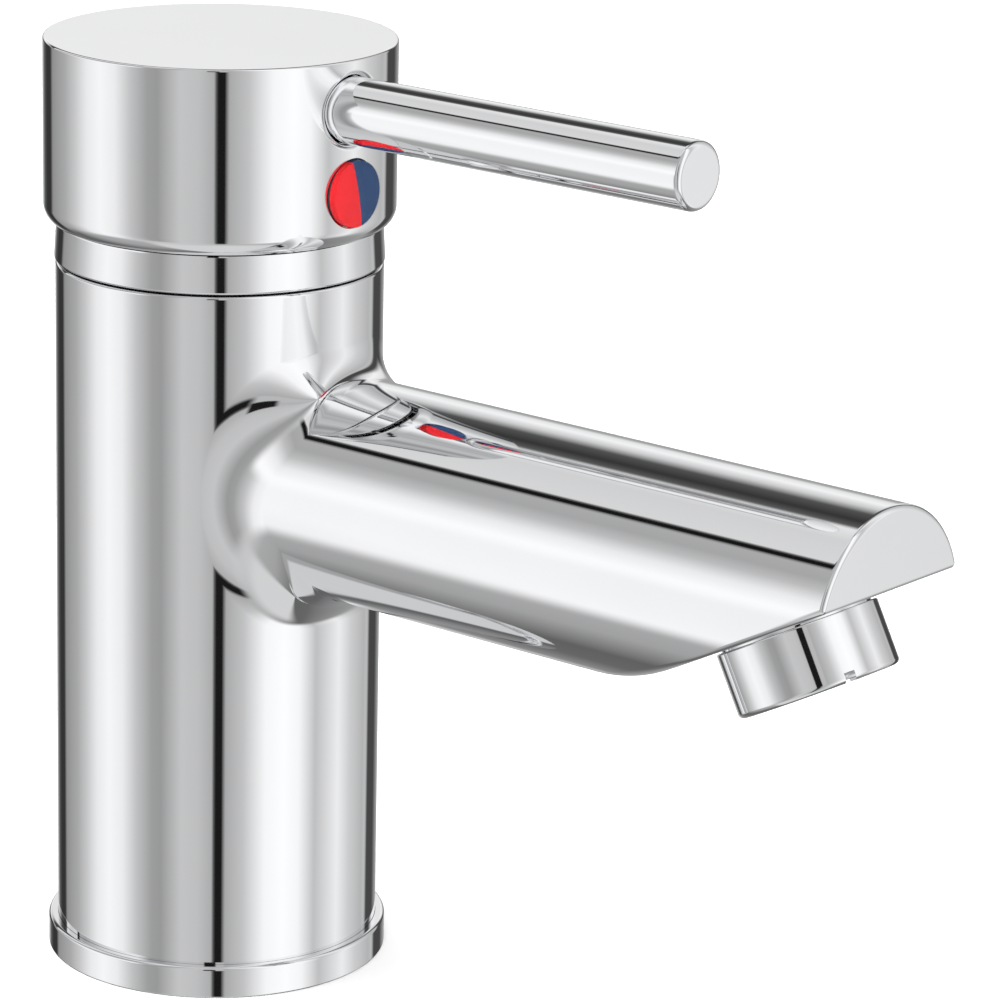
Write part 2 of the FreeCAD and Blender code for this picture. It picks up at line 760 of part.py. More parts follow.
def index_half(side):
    """One coloured half of the index button: side -1 is hot and +1 is cold."""
    bottom = index_seat_x + index_plug_thickness
    top = bottom + index_colour_thickness
    whole = bar(index_diameter / 2 - index_rim - press_clearance, bottom, top, index_z)
    start_y = -index_diameter if side < 0 else 0
    corner = V(bottom, start_y, index_z - index_diameter)
    keep = Part.makeBox(top - bottom, index_diameter, 2 * index_diameter, corner)
    keep.rotate(V(bottom, 0, index_z), V(1, 0, 0), index_turn)
    return whole.common(keep)


def index_lens():
    """The clear domed lens over the coloured halves."""
    bottom = index_seat_x + index_plug_thickness + index_colour_thickness
    crown = cap_radius + index_lens_rise
    edge = bottom + index_lens_edge
    radius = index_diameter / 2
    height = crown - edge
    dome_radius = (radius * radius + height * height) / (2 * height)
    whole = bar(radius, bottom, crown, index_z)
    return whole.common(Part.makeSphere(dome_radius, V(crown - dome_radius, 0, index_z)))


# ---------------------------------------------------------------- aerator
def aerator_housing():
    """The chromed shell with its thread, shadow gap, end lip and two key notches."""
    shell = disc(aerator_radius, aerator_shadow_gap, aerator_length)

    def on_end(p):
        return p.z > aerator_length - 0.01

    def on_start(p):
        return p.z < aerator_shadow_gap + 0.01

    shell = rounded(shell, aerator_rounding, on_end)
    shell = rounded(shell, aerator_start_rounding, on_start)
    shape = joined(shell, disc(aerator_thread_radius, -aerator_thread_length, aerator_length / 2))
    lip_start = aerator_length - aerator_lip_height
    bore = disc(aerator_bore, -aerator_thread_length, lip_start)
    mouth = disc(aerator_bore - aerator_lip, -aerator_thread_length, aerator_length)
    shape = without(shape, bore, mouth)
    for turn in (0, 180):
        notch = Part.makeBox(
            aerator_diameter,
            key_notch_width,
            key_notch_depth,
            V(0, -key_notch_width / 2, aerator_length - key_notch_depth),
        )
        notch.rotate(V(0, 0, 0), V(0, 0, 1), key_notch_angle + turn)
        shape = shape.cut(notch)
    return placed(shape, aerator_frame)


def honeycomb(radius, bottom, top):
    """The hexagonal cells that fit inside a circle, as one compound of prisms."""
    pitch = grid_cell + grid_web
    rows = int(radius / (pitch * math.sqrt(3) / 2)) + 1
    cells = []
    for row in range(-rows, rows + 1):
        y = row * pitch * math.sqrt(3) / 2
        offset = pitch / 2 if row % 2 else 0.0
        for column in range(-rows, rows + 1):
            x = column * pitch + offset
            if math.hypot(x, y) + grid_cell / math.sqrt(3) < radius:
                cell = hexagon(grid_cell, bottom, top)
                cell.translate(V(x, y, 0))
                cells.append(cell)
    return Part.makeCompound(cells)


def aerator_grid():
    """The honeycomb that evens out the stream at the outlet."""
    top = aerator_length - aerator_lip_height
    bottom = top - grid_thickness
    plate = disc(aerator_bore - assembly_clearance, bottom, top)
    cells = honeycomb(aerator_bore - aerator_lip - grid_margin, bottom, top)
    return placed(plate.cut(cells), aerator_frame)


def hole_circle(count, circle_radius, hole_radius, bottom, top):
    """A circle of equal vertical holes, as one compound."""
    holes = []
    for k in range(count):
        angle = 2 * math.pi * k / count
        x = circle_radius * math.cos(angle)
        y = circle_radius * math.sin(angle)
        holes.append(disc(hole_radius, bottom, top, x, y))
    return Part.makeCompound(holes)


def aerator_jet():
    """The plastic mixing core: a cup with a ring of jets above the grid."""
    top = aerator_length - aerator_lip_height - grid_thickness
    floor = core_start + core_floor
    radius = aerator_bore - assembly_clearance
    cup = disc(radius, core_start, top).cut(disc(radius - core_wall, floor, top))
    circle_radius = radius - core_wall - core_jet_inset
    jets = hole_circle(core_jets, circle_radius, core_jet_radius, core_start, floor)
    centre_post = disc(core_post_radius, floor, top - core_post_gap)
    return placed(joined(cup.cut(jets), centre_post), aerator_frame)


def aerator_strainer():
    """The inlet strainer: a shallow perforated hat above the mixing core."""
    radius = aerator_bore - assembly_clearance
    bottom = core_start - strainer_height
    floor = bottom + strainer_wall
    shape = disc(radius, bottom, core_start).cut(disc(radius - strainer_wall, floor, core_start))
    for count, share in strainer_circles:
        holes = hole_circle(count, radius * share, strainer_hole_radius, bottom, floor)
        shape = shape.cut(holes)
    return placed(shape, aerator_frame)


def aerator_gasket():
    """The rubber washer between the aerator's thread and its socket."""
    start = -aerator_thread_length - aerator_gasket_thickness
    washer = ring(
        aerator_thread_radius, aerator_bore - aerator_gasket_inset, start, -aerator_thread_length
    )
    return placed(washer, aerator_frame)


# ---------------------------------------------------------------- the whole mixer
PIECES = {
    "spout_body": spout_body,
    "base_ring": base_ring,
    "base_seal": base_seal,
    "dome_cover": dome_cover,
    "dome_seal": dome_seal,
    "cartridge_nut": cartridge_nut,
    "cartridge_housing": cartridge_housing,
    "cartridge_base": cartridge_base,
    "port_seals": port_seals,
    "fixed_disc": fixed_disc,
    "moving_disc": moving_disc,
    "disc_carrier": disc_carrier,
    "spindle_guide": spindle_guide,
    "guide_oring": guide_oring,
    "spindle_pin": spindle_pin,
    "spindle": spindle,
    "handle_cap": handle_cap,
    "lever_rod": lever_rod,
    "lever_stud": lever_stud,
    "set_screw": set_screw,
    "index_plug": index_plug,
    "index_hot": lambda: index_half(-1),
    "index_cold": lambda: index_half(1),
    "index_lens": index_lens,
    "aerator_housing": aerator_housing,
    "aerator_grid": aerator_grid,
    "aerator_jet": aerator_jet,
    "aerator_strainer": aerator_strainer,
    "aerator_gasket": aerator_gasket,
}


def main():
    """Build every piece and write it to parts/."""
    os.makedirs("parts", exist_ok=True)
    for name, make in PIECES.items():
        shape = make()
        shape.exportStep("parts/" + name + ".step")
        box = shape.BoundBox
        state = "valid" if shape.isValid() else "not valid"
        print(name, len(shape.Solids), state, "volume", round(shape.Volume, 1), end=" ")
        print("x", round(box.XMin, 2), round(box.XMax, 2), "z", round(box.ZMin, 2), round(box.ZMax, 2))


main()
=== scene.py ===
"""Looks of a single-lever basin mixer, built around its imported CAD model.

The frame is the CAD frame: +Z up, the origin on the column's axis in the deck plane, +X along
the spout. Shapes are worked out in millimetres and written to the meshes in metres.
"""

import json
import logging
import math
from dataclasses import dataclass, field
from enum import Enum
from typing import Any, Sequence

import bpy
import numpy as np
from mathutils import Matrix, Vector
from mathutils.geometry import delaunay_2d_cdt


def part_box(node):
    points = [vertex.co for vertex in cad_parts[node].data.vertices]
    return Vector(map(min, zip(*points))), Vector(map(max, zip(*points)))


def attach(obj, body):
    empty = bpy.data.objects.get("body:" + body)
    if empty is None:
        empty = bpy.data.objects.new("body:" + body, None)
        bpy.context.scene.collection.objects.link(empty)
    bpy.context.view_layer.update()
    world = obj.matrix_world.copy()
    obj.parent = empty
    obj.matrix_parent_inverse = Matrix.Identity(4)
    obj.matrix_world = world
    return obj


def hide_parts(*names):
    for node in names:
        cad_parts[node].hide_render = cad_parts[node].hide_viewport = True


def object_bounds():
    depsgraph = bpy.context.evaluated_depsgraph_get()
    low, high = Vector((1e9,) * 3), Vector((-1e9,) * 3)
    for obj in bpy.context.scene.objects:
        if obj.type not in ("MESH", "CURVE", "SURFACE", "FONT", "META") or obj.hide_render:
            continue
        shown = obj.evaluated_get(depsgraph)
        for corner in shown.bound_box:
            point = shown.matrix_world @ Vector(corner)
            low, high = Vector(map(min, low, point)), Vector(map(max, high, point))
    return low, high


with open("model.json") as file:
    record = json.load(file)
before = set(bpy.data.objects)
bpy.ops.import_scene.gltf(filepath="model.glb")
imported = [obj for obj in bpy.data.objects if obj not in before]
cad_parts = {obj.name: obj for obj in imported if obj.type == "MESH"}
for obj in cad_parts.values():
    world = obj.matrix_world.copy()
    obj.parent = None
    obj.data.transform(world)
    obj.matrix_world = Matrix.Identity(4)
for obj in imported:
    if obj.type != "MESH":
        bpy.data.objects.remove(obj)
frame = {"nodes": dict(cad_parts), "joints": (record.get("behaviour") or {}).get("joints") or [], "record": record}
cad_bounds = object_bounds()

log = logging.getLogger("mixer")

Array = np.ndarray
Corner = tuple[float, float, float]
Strip = tuple[Array, Array]

MM = 0.001
WELD = 2e-4
AROUND = 256


class Body(Enum):
    """The bodies that pieces ride on."""

    TAP = "tap_body"
    HANDLE = "handle"


class Slot(Enum):
    """The material slots that new pieces take their finish from."""

    CHROME = "chrome_plate"
    BRASS = "raw_brass"
    CLEAR = "index_clear"
    BUTTON = "index_plastic"
    RED = "index_red"
    BLUE = "index_blue"
    MOULDED = "aerator_plastic"


# ---------------------------------------------------------------- places and sizes
def node_box(node: str) -> tuple[Array, Array]:
    """A CAD node's box.

    Args:
        node: name of the node.

    Returns:
        Its lowest and highest corners in millimetres.
    """
    low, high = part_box(node)
    return np.array(low) / MM, np.array(high) / MM


def unit(vectors: Array) -> Array:
    """Vectors along the last axis, scaled to length one."""
    return vectors / np.linalg.norm(vectors, axis=-1, keepdims=True)


@dataclass(frozen=True)
class Place:
    """A right-handed frame that a turned piece is made in, with its axis along z."""

    origin: Array
    x: Array
    y: Array
    z: Array

    def turn(self, local: Array) -> Array:
        """Directions in this frame, given in the mixer's frame."""
        return local[..., 0:1] * self.x + local[..., 1:2] * self.y + local[..., 2:3] * self.z

    def put(self, local: Array) -> Array:
        """Points in this frame, given in the mixer's frame."""
        return self.origin + self.turn(local)


def upright(x: float = 0.0, y: float = 0.0) -> Place:
    """A frame with its axis pointing up."""
    return Place(np.array([x, y, 0.0]), np.eye(3)[0], np.eye(3)[1], np.eye(3)[2])


def along_spout(height: float) -> Place:
    """A frame with its axis along +X at a height on the middle plane."""
    return Place(np.array([0.0, 0.0, height]), np.eye(3)[1], np.eye(3)[2], np.eye(3)[0])


@dataclass(frozen=True)
class ThreadedHole:
    """A threaded hole in the underside, from its mount in the record."""

    name: str
    centre: tuple[float, float]
    radius: float
    length: float


def mounts(kind: str) -> list[dict[str, Any]]:
    """The record's mounts of one kind."""
    return [mount for mount in frame["record"]["mounts"] if mount["kind"] == kind]


def threaded_mounts() -> list[ThreadedHole]:
    """The threaded holes in the underside, in millimetres."""
    holes = []
    for mount in mounts("threaded_hole"):
        x, y, _ = mount["pos_m"]
        dims = mount["dims"]
        holes.append(ThreadedHole(mount["name"], (x / MM, y / MM), dims["r_mm"], dims["length_mm"]))
    return holes


AERATOR_LENGTH = 9.8


def outlet_place() -> Place:
    """The aerator's frame: its axis points out of the outlet and starts on the oblique cut."""
    outlet = next(m for m in mounts("other") if m["name"] == "water_outlet")
    way = unit(np.array(outlet["axis"]))
    side = np.eye(3)[1]
    origin = np.array(outlet["pos_m"]) / MM - AERATOR_LENGTH * way
    return Place(origin, np.cross(side, way), side, way)


def outlet_slope() -> float:
    """Slope of the oblique cut, in radians."""
    way = outlet_place().z
    return math.atan2(way[0], -way[2])


# ---------------------------------------------------------------- turned outlines
def straight(start: Sequence[float], end: Sequence[float], parts: int = 1) -> Strip:
    """A straight stretch of an outline.

    Args:
        start: radius and height where it starts.
        end: radius and height where it ends.
        parts: number of equal parts.

    Returns:
        Its points and its normals, which point to the right of the way it runs.
    """
    a = np.array(start, float)
    b = np.array(end, float)
    share = np.linspace(0.0, 1.0, parts + 1)[:, None]
    way = unit(b - a)
    normal = np.array([way[1], -way[0]])
    return a + (b - a) * share, np.tile(normal, (parts + 1, 1))


def arc(centre: Sequence[float], radius: float, start: float, end: float, parts: int) -> Strip:
    """A round stretch of an outline.

    Args:
        centre: radius and height of its centre.
        radius: its own radius.
        start: angle of its first point, from the outward direction.
        end: angle of its last point. An arc with rising angles is convex.
        parts: number of equal parts.

    Returns:
        Its points and its normals.
    """
    angle = np.linspace(start, end, parts + 1)
    ray = np.stack([np.cos(angle), np.sin(angle)], axis=-1)
    side = 1.0 if end > start else -1.0
    return np.array(centre, float) + radius * ray, side * ray


def outline(corners: Sequence[Corner], parts: int = 8) -> list[Strip]:
    """The strips of a closed outline with rounded corners, counter-clockwise.

    Args:
        corners: radius, height and rounding of each corner.
        parts: parts of each rounding.

    Returns:
        Straight and round strips, in order.
    """
    points = [np.array(corner[:2], float) for corner in corners]
    ways = [unit(points[(k + 1) % len(points)] - points[k]) for k in range(len(points))]
    enters: list[Array] = []
    leaves: list[Array] = []
    bends: list[Strip | None] = []
    for k, corner in enumerate(corners):
        before, after = ways[k - 1], ways[k]
        turn = math.atan2(before[0] * after[1] - before[1] * after[0], float(before @ after))
        reach = corner[2] * abs(math.tan(turn / 2))
        enters.append(points[k] - before * reach)
        leaves.append(points[k] + after * reach)
        if corner[2] == 0.0:
            bends.append(None)
            continue
        side = 1.0 if turn > 0 else -1.0
        normal = np.array([before[1], -before[0]])
        first = math.atan2(side * normal[1], side * normal[0])
        centre = enters[k] - side * corner[2] * normal
        bends.append(arc(centre, corner[2], first, first + turn, parts))
    strips: list[Strip] = []
    for k, bend in enumerate(bends):
        if bend is not None:
            strips.append(bend)
        after = (k + 1) % len(points)
        if np.linalg.norm(enters[after] - leaves[k]) > WELD:
            strips.append(straight(leaves[k], enters[after]))
    return strips


# ---------------------------------------------------------------- meshes with exact normals
class Skin:
    """A mesh gathered from patches that carry the exact normals of their surfaces."""

    def __init__(self) -> None:
        """Start with no patches."""
        self._points: list[Array] = []
        self._normals: list[Array] = []
        self._faces: list[Array] = []
        self._size = 0

    def _take(self, points: Array, normals: Array, faces: Array) -> None:
        """Add points, their normals and faces counted from the first of them."""
        self._points.append(points)
        self._normals.append(normals)
        self._faces.append(faces + self._size)
        self._size += len(points)

    def patch(self, points: Array, normals: Array, keep: Array | None = None) -> None:
        """Add a grid of quads.

        Args:
            points: rows by columns by 3.
            normals: the same shape as the points.
            keep: which quads are kept, rows - 1 by columns - 1, or all.
        """
        rows, columns = points.shape[:2]
        index = np.arange(rows * columns).reshape(rows, columns)
        quads = np.stack([index[:-1, :-1], index[:-1, 1:], index[1:, 1:], index[1:, :-1]], axis=-1)
        if keep is not None:
            quads = quads[keep]
        self._take(points.reshape(-1, 3), normals.reshape(-1, 3), quads.reshape(-1, 4))

    def turned(self, strips: Sequence[Strip], place: Place | None = None) -> None:
        """Add surfaces of revolution.

        Args:
            strips: outline strips of radius and height.
            place: the frame whose z is the axis, upright at the origin when not given.
        """
        place = place or upright()
        angle = np.linspace(0.0, 2 * math.pi, AROUND + 1)
        ray = np.stack([np.cos(angle), np.sin(angle), np.zeros_like(angle)], axis=-1)
        up = np.array([0.0, 0.0, 1.0])
        for points, normals in strips:
            local = points[:, None, 0:1] * ray + points[:, None, 1:2] * up
            outward = normals[:, None, 0:1] * ray + normals[:, None, 1:2] * up
            self.patch(place.put(local), place.turn(outward))

    def flat(self, loops: Sequence[Array], normal: Array) -> None:
        """Add a flat face with holes.

        Args:
            loops: the outer loop and the loops of the holes, each as points by 3.
            normal: the direction that the face looks in.
        """
        across = unit(np.cross(normal, np.eye(3)[int(np.argmin(np.abs(normal)))]))
        along = np.cross(normal, across)
        points = np.concatenate(loops)
        plane = np.stack([points @ across, points @ along], axis=-1)
        edges: list[tuple[int, int]] = []
        start = 0
        for loop in loops:
            count = len(loop)
            edges += [(start + k, start + (k + 1) % count) for k in range(count)]
            start += count
        _, _, triangles, origins, _, _ = delaunay_2d_cdt(
            [Vector(p) for p in plane], edges, [], 0, 1e-9
        )
        faces = np.array([[origins[v][0] for v in triangle] for triangle in triangles])
        middle = plane[faces].mean(axis=1)
        a = plane[[e[0] for e in edges]]
        b = plane[[e[1] for e in edges]]
        crosses = (a[:, 1] > middle[:, 1:2]) != (b[:, 1] > middle[:, 1:2])
        rise = np.where(b[:, 1] == a[:, 1], 1.0, b[:, 1] - a[:, 1])
        meets = a[:, 0] + (middle[:, 1:2] - a[:, 1]) / rise * (b[:, 0] - a[:, 0])
        inside = (crosses & (middle[:, 0:1] < meets)).sum(axis=1) % 2 == 1
        self._take(points, np.tile(normal, (len(points), 1)), faces[inside])

    def build(self, name: str, material: bpy.types.Material) -> bpy.types.Object:
        """Weld the patches into one mesh object.

        Args:
            name: the object's name.
            material: its finish.

        Returns:
            The object, at the origin, with its place in its mesh.
        """
        points = np.concatenate(self._points)
        normals = unit(np.concatenate(self._normals))
        keys = np.round(points / WELD).astype(np.int64)
        _, first, merged = np.unique(keys, axis=0, return_index=True, return_inverse=True)
        merged = merged.reshape(-1)
        faces: list[list[int]] = []
        corner_normals: list[Array] = []
        for group in self._faces:
            corners = points[group]
            if group.shape[1] == 4:
                facing = np.cross(corners[:, 2] - corners[:, 0], corners[:, 3] - corners[:, 1])
            else:
                facing = np.cross(corners[:, 1] - corners[:, 0], corners[:, 2] - corners[:, 0])
            backwards = (facing * normals[group].sum(axis=1)).sum(axis=1) < 0
            for face, back in zip(group, backwards):
                order = face[::-1] if back else face
                ids = merged[order]
                kept = [k for k in range(len(ids)) if ids[k] != ids[k - 1]]
                if len(kept) > 2:
                    faces.append([int(ids[k]) for k in kept])
                    corner_normals.extend(normals[order[k]] for k in kept)
        mesh = bpy.data.meshes.new(name)
        mesh.from_pydata((points[first] * MM).tolist(), [], faces)
        mesh.polygons.foreach_set("use_smooth", [True] * len(mesh.polygons))
        mesh.normals_split_custom_set([tuple(n) for n in corner_normals])
        mesh.materials.append(material)
        piece = bpy.data.objects.new(name, mesh)
        bpy.context.scene.collection.objects.link(piece)
        log.info("%s: %d faces", name, len(faces))
        return piece


@dataclass(frozen=True)
class Window:
    """A rectangle of grid cells left out of a round wall, to be filled around an opening."""

    columns: int
    low_row: int
    high_row: int

    def boundary(self, angles: Array, heights: Array) -> Array:
        """The rectangle's grid points in order, as angle and height."""
        low, high = heights[self.low_row], heights[self.high_row]
        left, right = -self.columns, self.columns
        across = [angles[k] for k in range(left, right + 1)]
        up = heights[self.low_row:self.high_row + 1]
        loop = [(a, low) for a in across]
        loop += [(across[-1], z) for z in up[1:]]
        loop += [(a, high) for a in across[-2::-1]]
        loop += [(across[0], z) for z in up[-2:0:-1]]
        return np.array(loop)


@dataclass(frozen=True)
class Crossing:
    """Where a level cylinder along +X meets an upright cylinder, with a rolled edge.

    The rolled edge is the path of a ball that touches both. It lies outside the upright
    cylinder in a fillet and inside it at the edge of a hole. The ball's radius runs from
    ball above and below the opening to side_ball beside it.
    """

    wall_radius: float
    bore_radius: float
    height: float
    ball: float
    side_ball: float
    is_hole: bool

    def span(self) -> tuple[float, float]:
        """Heights of the opening's lowest and highest points on the wall."""
        half = self.bore_radius + self.ball
        return self.height - half, self.height + half

    def around(self, boundary: Array) -> Array:
        """The angle about the level axis of each boundary point, from +Z towards +Y."""
        return np.arctan2(self.wall_radius * boundary[:, 0], boundary[:, 1] - self.height)

    def size(self, turn: Array) -> Array:
        """The ball's radius at each angle."""
        return self.ball + (self.side_ball - self.ball) * np.sin(turn) ** 2

    def centre(self, turn: Array) -> Array:
        """The ball's centre at each angle."""
        ball = self.size(turn)
        far = self.wall_radius - ball if self.is_hole else self.wall_radius + ball
        y = (self.bore_radius + ball) * np.sin(turn)
        z = self.height + (self.bore_radius + ball) * np.cos(turn)
        return np.stack([np.sqrt(far * far - y * y), y, z], axis=-1)

    def on_wall(self, turn: Array) -> Array:
        """Where the ball touches the upright cylinder, as angle and height."""
        centre = self.centre(turn)
        return np.stack([np.arctan2(centre[:, 1], centre[:, 0]), centre[:, 2]], axis=-1)

    def on_bore(self, turn: Array) -> Array:
        """Where the ball touches the level cylinder."""
        ray = np.stack([np.zeros_like(turn), np.sin(turn), np.cos(turn)], axis=-1)
        return self.centre(turn) - self.size(turn)[:, None] * ray

    def fill(self, skin: Skin, boundary: Array, turn: Array, rings: int, parts: int) -> None:
        """Add the wall around the opening and the rolled edge.

        Args:
            skin: the mesh to add to.
            boundary: the window's points, as angle and height.
            turn: the angle about the level axis for each of them.
            rings: rings of faces between the window and the opening.
            parts: parts of the rolled edge.
        """
        share = np.linspace(0.0, 1.0, rings + 1)[:, None, None]
        flat = boundary + (self.on_wall(turn) - boundary) * share
        angle, height = flat[..., 0], flat[..., 1]
        normal = np.stack([np.cos(angle), np.sin(angle), np.zeros_like(angle)], axis=-1)
        points = self.wall_radius * normal
        points[..., 2] = height
        skin.patch(closed(points), closed(normal))
        centre = self.centre(turn)
        touch = self.on_wall(turn)
        start = np.stack([np.cos(touch[:, 0]), np.sin(touch[:, 0]), np.zeros(len(turn))], axis=-1)
        start = start if self.is_hole else -start
        end = unit(self.on_bore(turn) - centre)
        ray = swing(start, end, parts)
        edge = centre + self.size(turn)[:, None] * ray
        facing = ray if self.is_hole else -ray
        skin.patch(closed(edge), closed(bent_normals(edge, facing, True)))


def closed(rows: Array) -> Array:
    """Rows of points with their first point repeated at the end."""
    return np.concatenate([rows, rows[:, :1]], axis=1)


def bent_normals(points: Array, guide: Array, is_closed: bool) -> Array:
    """Normals of a grid of points, worked out from their neighbours.

    Args:
        points: rows by columns by 3.
        guide: nearly the normals, kept as they are in the first and last rows.
        is_closed: whether the last column comes before the first.

    Returns:
        Unit normals of the same shape, on the guide's side.
    """
    if is_closed:
        along = np.roll(points, -1, axis=1) - np.roll(points, 1, axis=1)
    else:
        along = np.gradient(points, axis=1)
    normal = unit(np.cross(along, np.gradient(points, axis=0)))
    normal *= np.where((normal * guide).sum(axis=-1, keepdims=True) < 0, -1.0, 1.0)
    kept = [0, -1]
    normal[kept] = guide[kept]
    if not is_closed:
        normal[:, kept] = guide[:, kept]
    return normal


def swing(start: Array, end: Array, parts: int) -> Array:
    """Unit vectors turned evenly from one direction to another.

    Args:
        start: first directions, n by 3.
        end: last directions, n by 3.
        parts: number of equal parts.

    Returns:
        Directions, parts + 1 by n by 3.
    """
    angle = np.arccos(np.clip((start * end).sum(axis=-1, keepdims=True), -1.0, 1.0))
    share = np.linspace(0.0, 1.0, parts + 1)[:, None, None]
    return (np.sin((1 - share) * angle) * start + np.sin(share * angle) * end) / np.sin(angle)


def round_wall(skin: Skin, radius: float, heights: Array, windows: Sequence[Window]) -> Array:
    """Add an upright cylinder wall with windows around +X.

    Args:
        skin: the mesh to add to.
        radius: the wall's radius.
        heights: heights of the rows, low to high.
        windows: the windows left out.

    Returns:
        The angles of the columns, where a negative index counts back from +X.
    """
    angle = 2 * math.pi * np.arange(-AROUND // 2, AROUND // 2 + 1) / AROUND
    normal = np.stack([np.cos(angle), np.sin(angle), np.zeros_like(angle)], axis=-1)
    points = np.tile(radius * normal, (len(heights), 1, 1))
    points[..., 2] = heights[:, None]
    keep = np.ones((len(heights) - 1, AROUND), bool)
    middle = AROUND // 2
    for window in windows:
        rows = slice(window.low_row, window.high_row)
        keep[rows, middle - window.columns:middle + window.columns] = False
    skin.patch(points, np.tile(normal, (len(heights), 1, 1)), keep)
    return np.concatenate([angle[middle:-1], angle[:middle]])


def circle(place: Place, radius: float, height: float = 0.0, count: int = AROUND) -> Array:
    """Points of a circle square to a frame's axis."""
    angle = 2 * math.pi * np.arange(count) / count
    level = np.full(count, height)
    return place.put(np.stack([radius * np.cos(angle), radius * np.sin(angle), level], axis=-1))


# ---------------------------------------------------------------- repeats by Geometry Nodes
class GeometryTree:
    """A Geometry Nodes tree whose sizes are named inputs, in metres."""

    def __init__(self, name: str, inputs: Sequence[str]) -> None:
        """Make the tree with its number inputs and its geometry output."""
        self.tree = bpy.data.node_groups.new(name, "GeometryNodeTree")
        sockets = self.tree.interface
        sockets.new_socket(name="Geometry", in_out="OUTPUT", socket_type="NodeSocketGeometry")
        self.identifiers = {
            label: sockets.new_socket(
                name=label, in_out="INPUT", socket_type="NodeSocketFloat"
            ).identifier
            for label in inputs
        }
        self.inputs = self.tree.nodes.new("NodeGroupInput")

    def node(self, kind: str, settings: dict[str, Any], values: dict[Any, Any]) -> bpy.types.Node:
        """Add a node.

        Args:
            kind: the node's type.
            settings: its own properties, set first.
            values: numbers or sockets for its inputs, by name or index.

        Returns:
            The new node.
        """
        node = self.tree.nodes.new(kind)
        for key, value in settings.items():
            setattr(node, key, value)
        for key, value in values.items():
            if isinstance(value, bpy.types.NodeSocket):
                self.tree.links.new(value, node.inputs[key])
            else:
                node.inputs[key].default_value = value
        return node

    def maths(self, operation: str, a: Any, b: Any = 0.0) -> bpy.types.NodeSocket:
        """The result of one Math node."""
        return self.node("ShaderNodeMath", {"operation": operation}, {0: a, 1: b}).outputs[0]

    def finish(self, geometry: bpy.types.NodeSocket, material: bpy.types.Material) -> None:
        """End the tree in real geometry with its material."""
        real = self.node("GeometryNodeRealizeInstances", {}, {"Geometry": geometry})
        dressed = self.node(
            "GeometryNodeSetMaterial", {}, {"Geometry": real.outputs[0], "Material": material}
        )
        output = self.tree.nodes.new("NodeGroupOutput")
        self.tree.links.new(dressed.outputs[0], output.inputs[0])

    def make(self, name: str, values: dict[str, float], place: Place) -> bpy.types.Object:
        """Run the tree once and keep its result as a plain mesh.

        Args:
            name: the new object's name.
            values: the inputs by name, in metres or plain numbers.
            place: where the result goes, in millimetres.

        Returns:
            The new object, at the origin, with its place in its mesh.
        """
        carrier = bpy.data.objects.new(name + "_carrier", bpy.data.meshes.new(name + "_seed"))
        bpy.context.scene.collection.objects.link(carrier)
        modifier = carrier.modifiers.new("build", "NODES")
        modifier.node_group = self.tree
        for label, value in values.items():
            modifier[self.identifiers[label]] = value
        depsgraph = bpy.context.evaluated_depsgraph_get()
        mesh = bpy.data.meshes.new_from_object(carrier.evaluated_get(depsgraph))
        carrier.modifiers.remove(modifier)
        bpy.data.objects.remove(carrier)
        turn = Matrix(np.stack([place.x, place.y, place.z], axis=-1).tolist()).to_4x4()
        mesh.transform(Matrix.Translation(Vector(place.origin * MM)) @ turn)
        mesh.name = name
        piece = bpy.data.objects.new(name, mesh)
        bpy.context.scene.collection.objects.link(piece)
        log.info("%s: %d faces", name, len(mesh.polygons))
        return piece


def thread_tree(material: bpy.types.Material) -> GeometryTree:
    """A helical ridge inside a threaded hole.

    Args:
        material: the ridge's finish.

    Returns:
        A tree with the inputs Radius, Pitch, Turns and Depth.
    """
    tree = GeometryTree("thread_ridge", ["Radius", "Pitch", "Turns", "Depth"])
    inputs = tree.inputs.outputs
    rise = tree.maths("MULTIPLY", inputs["Pitch"], inputs["Turns"])
    spiral = tree.node("GeometryNodeCurveSpiral", {}, {
        "Resolution": 64,
        "Rotations": inputs["Turns"],
        "Start Radius": inputs["Radius"],
        "End Radius": inputs["Radius"],
        "Height": rise,
    })
    profile = tree.node("GeometryNodeCurvePrimitiveCircle", {"mode": "RADIUS"}, {
        "Resolution": 4,
        "Radius": inputs["Depth"],
    })
    ridge = tree.node("GeometryNodeCurveToMesh", {}, {
        "Curve": spiral.outputs[0],
        "Profile Curve": profile.outputs[0],
        "Fill Caps": True,
    })
    tree.finish(ridge.outputs[0], material)
    return tree


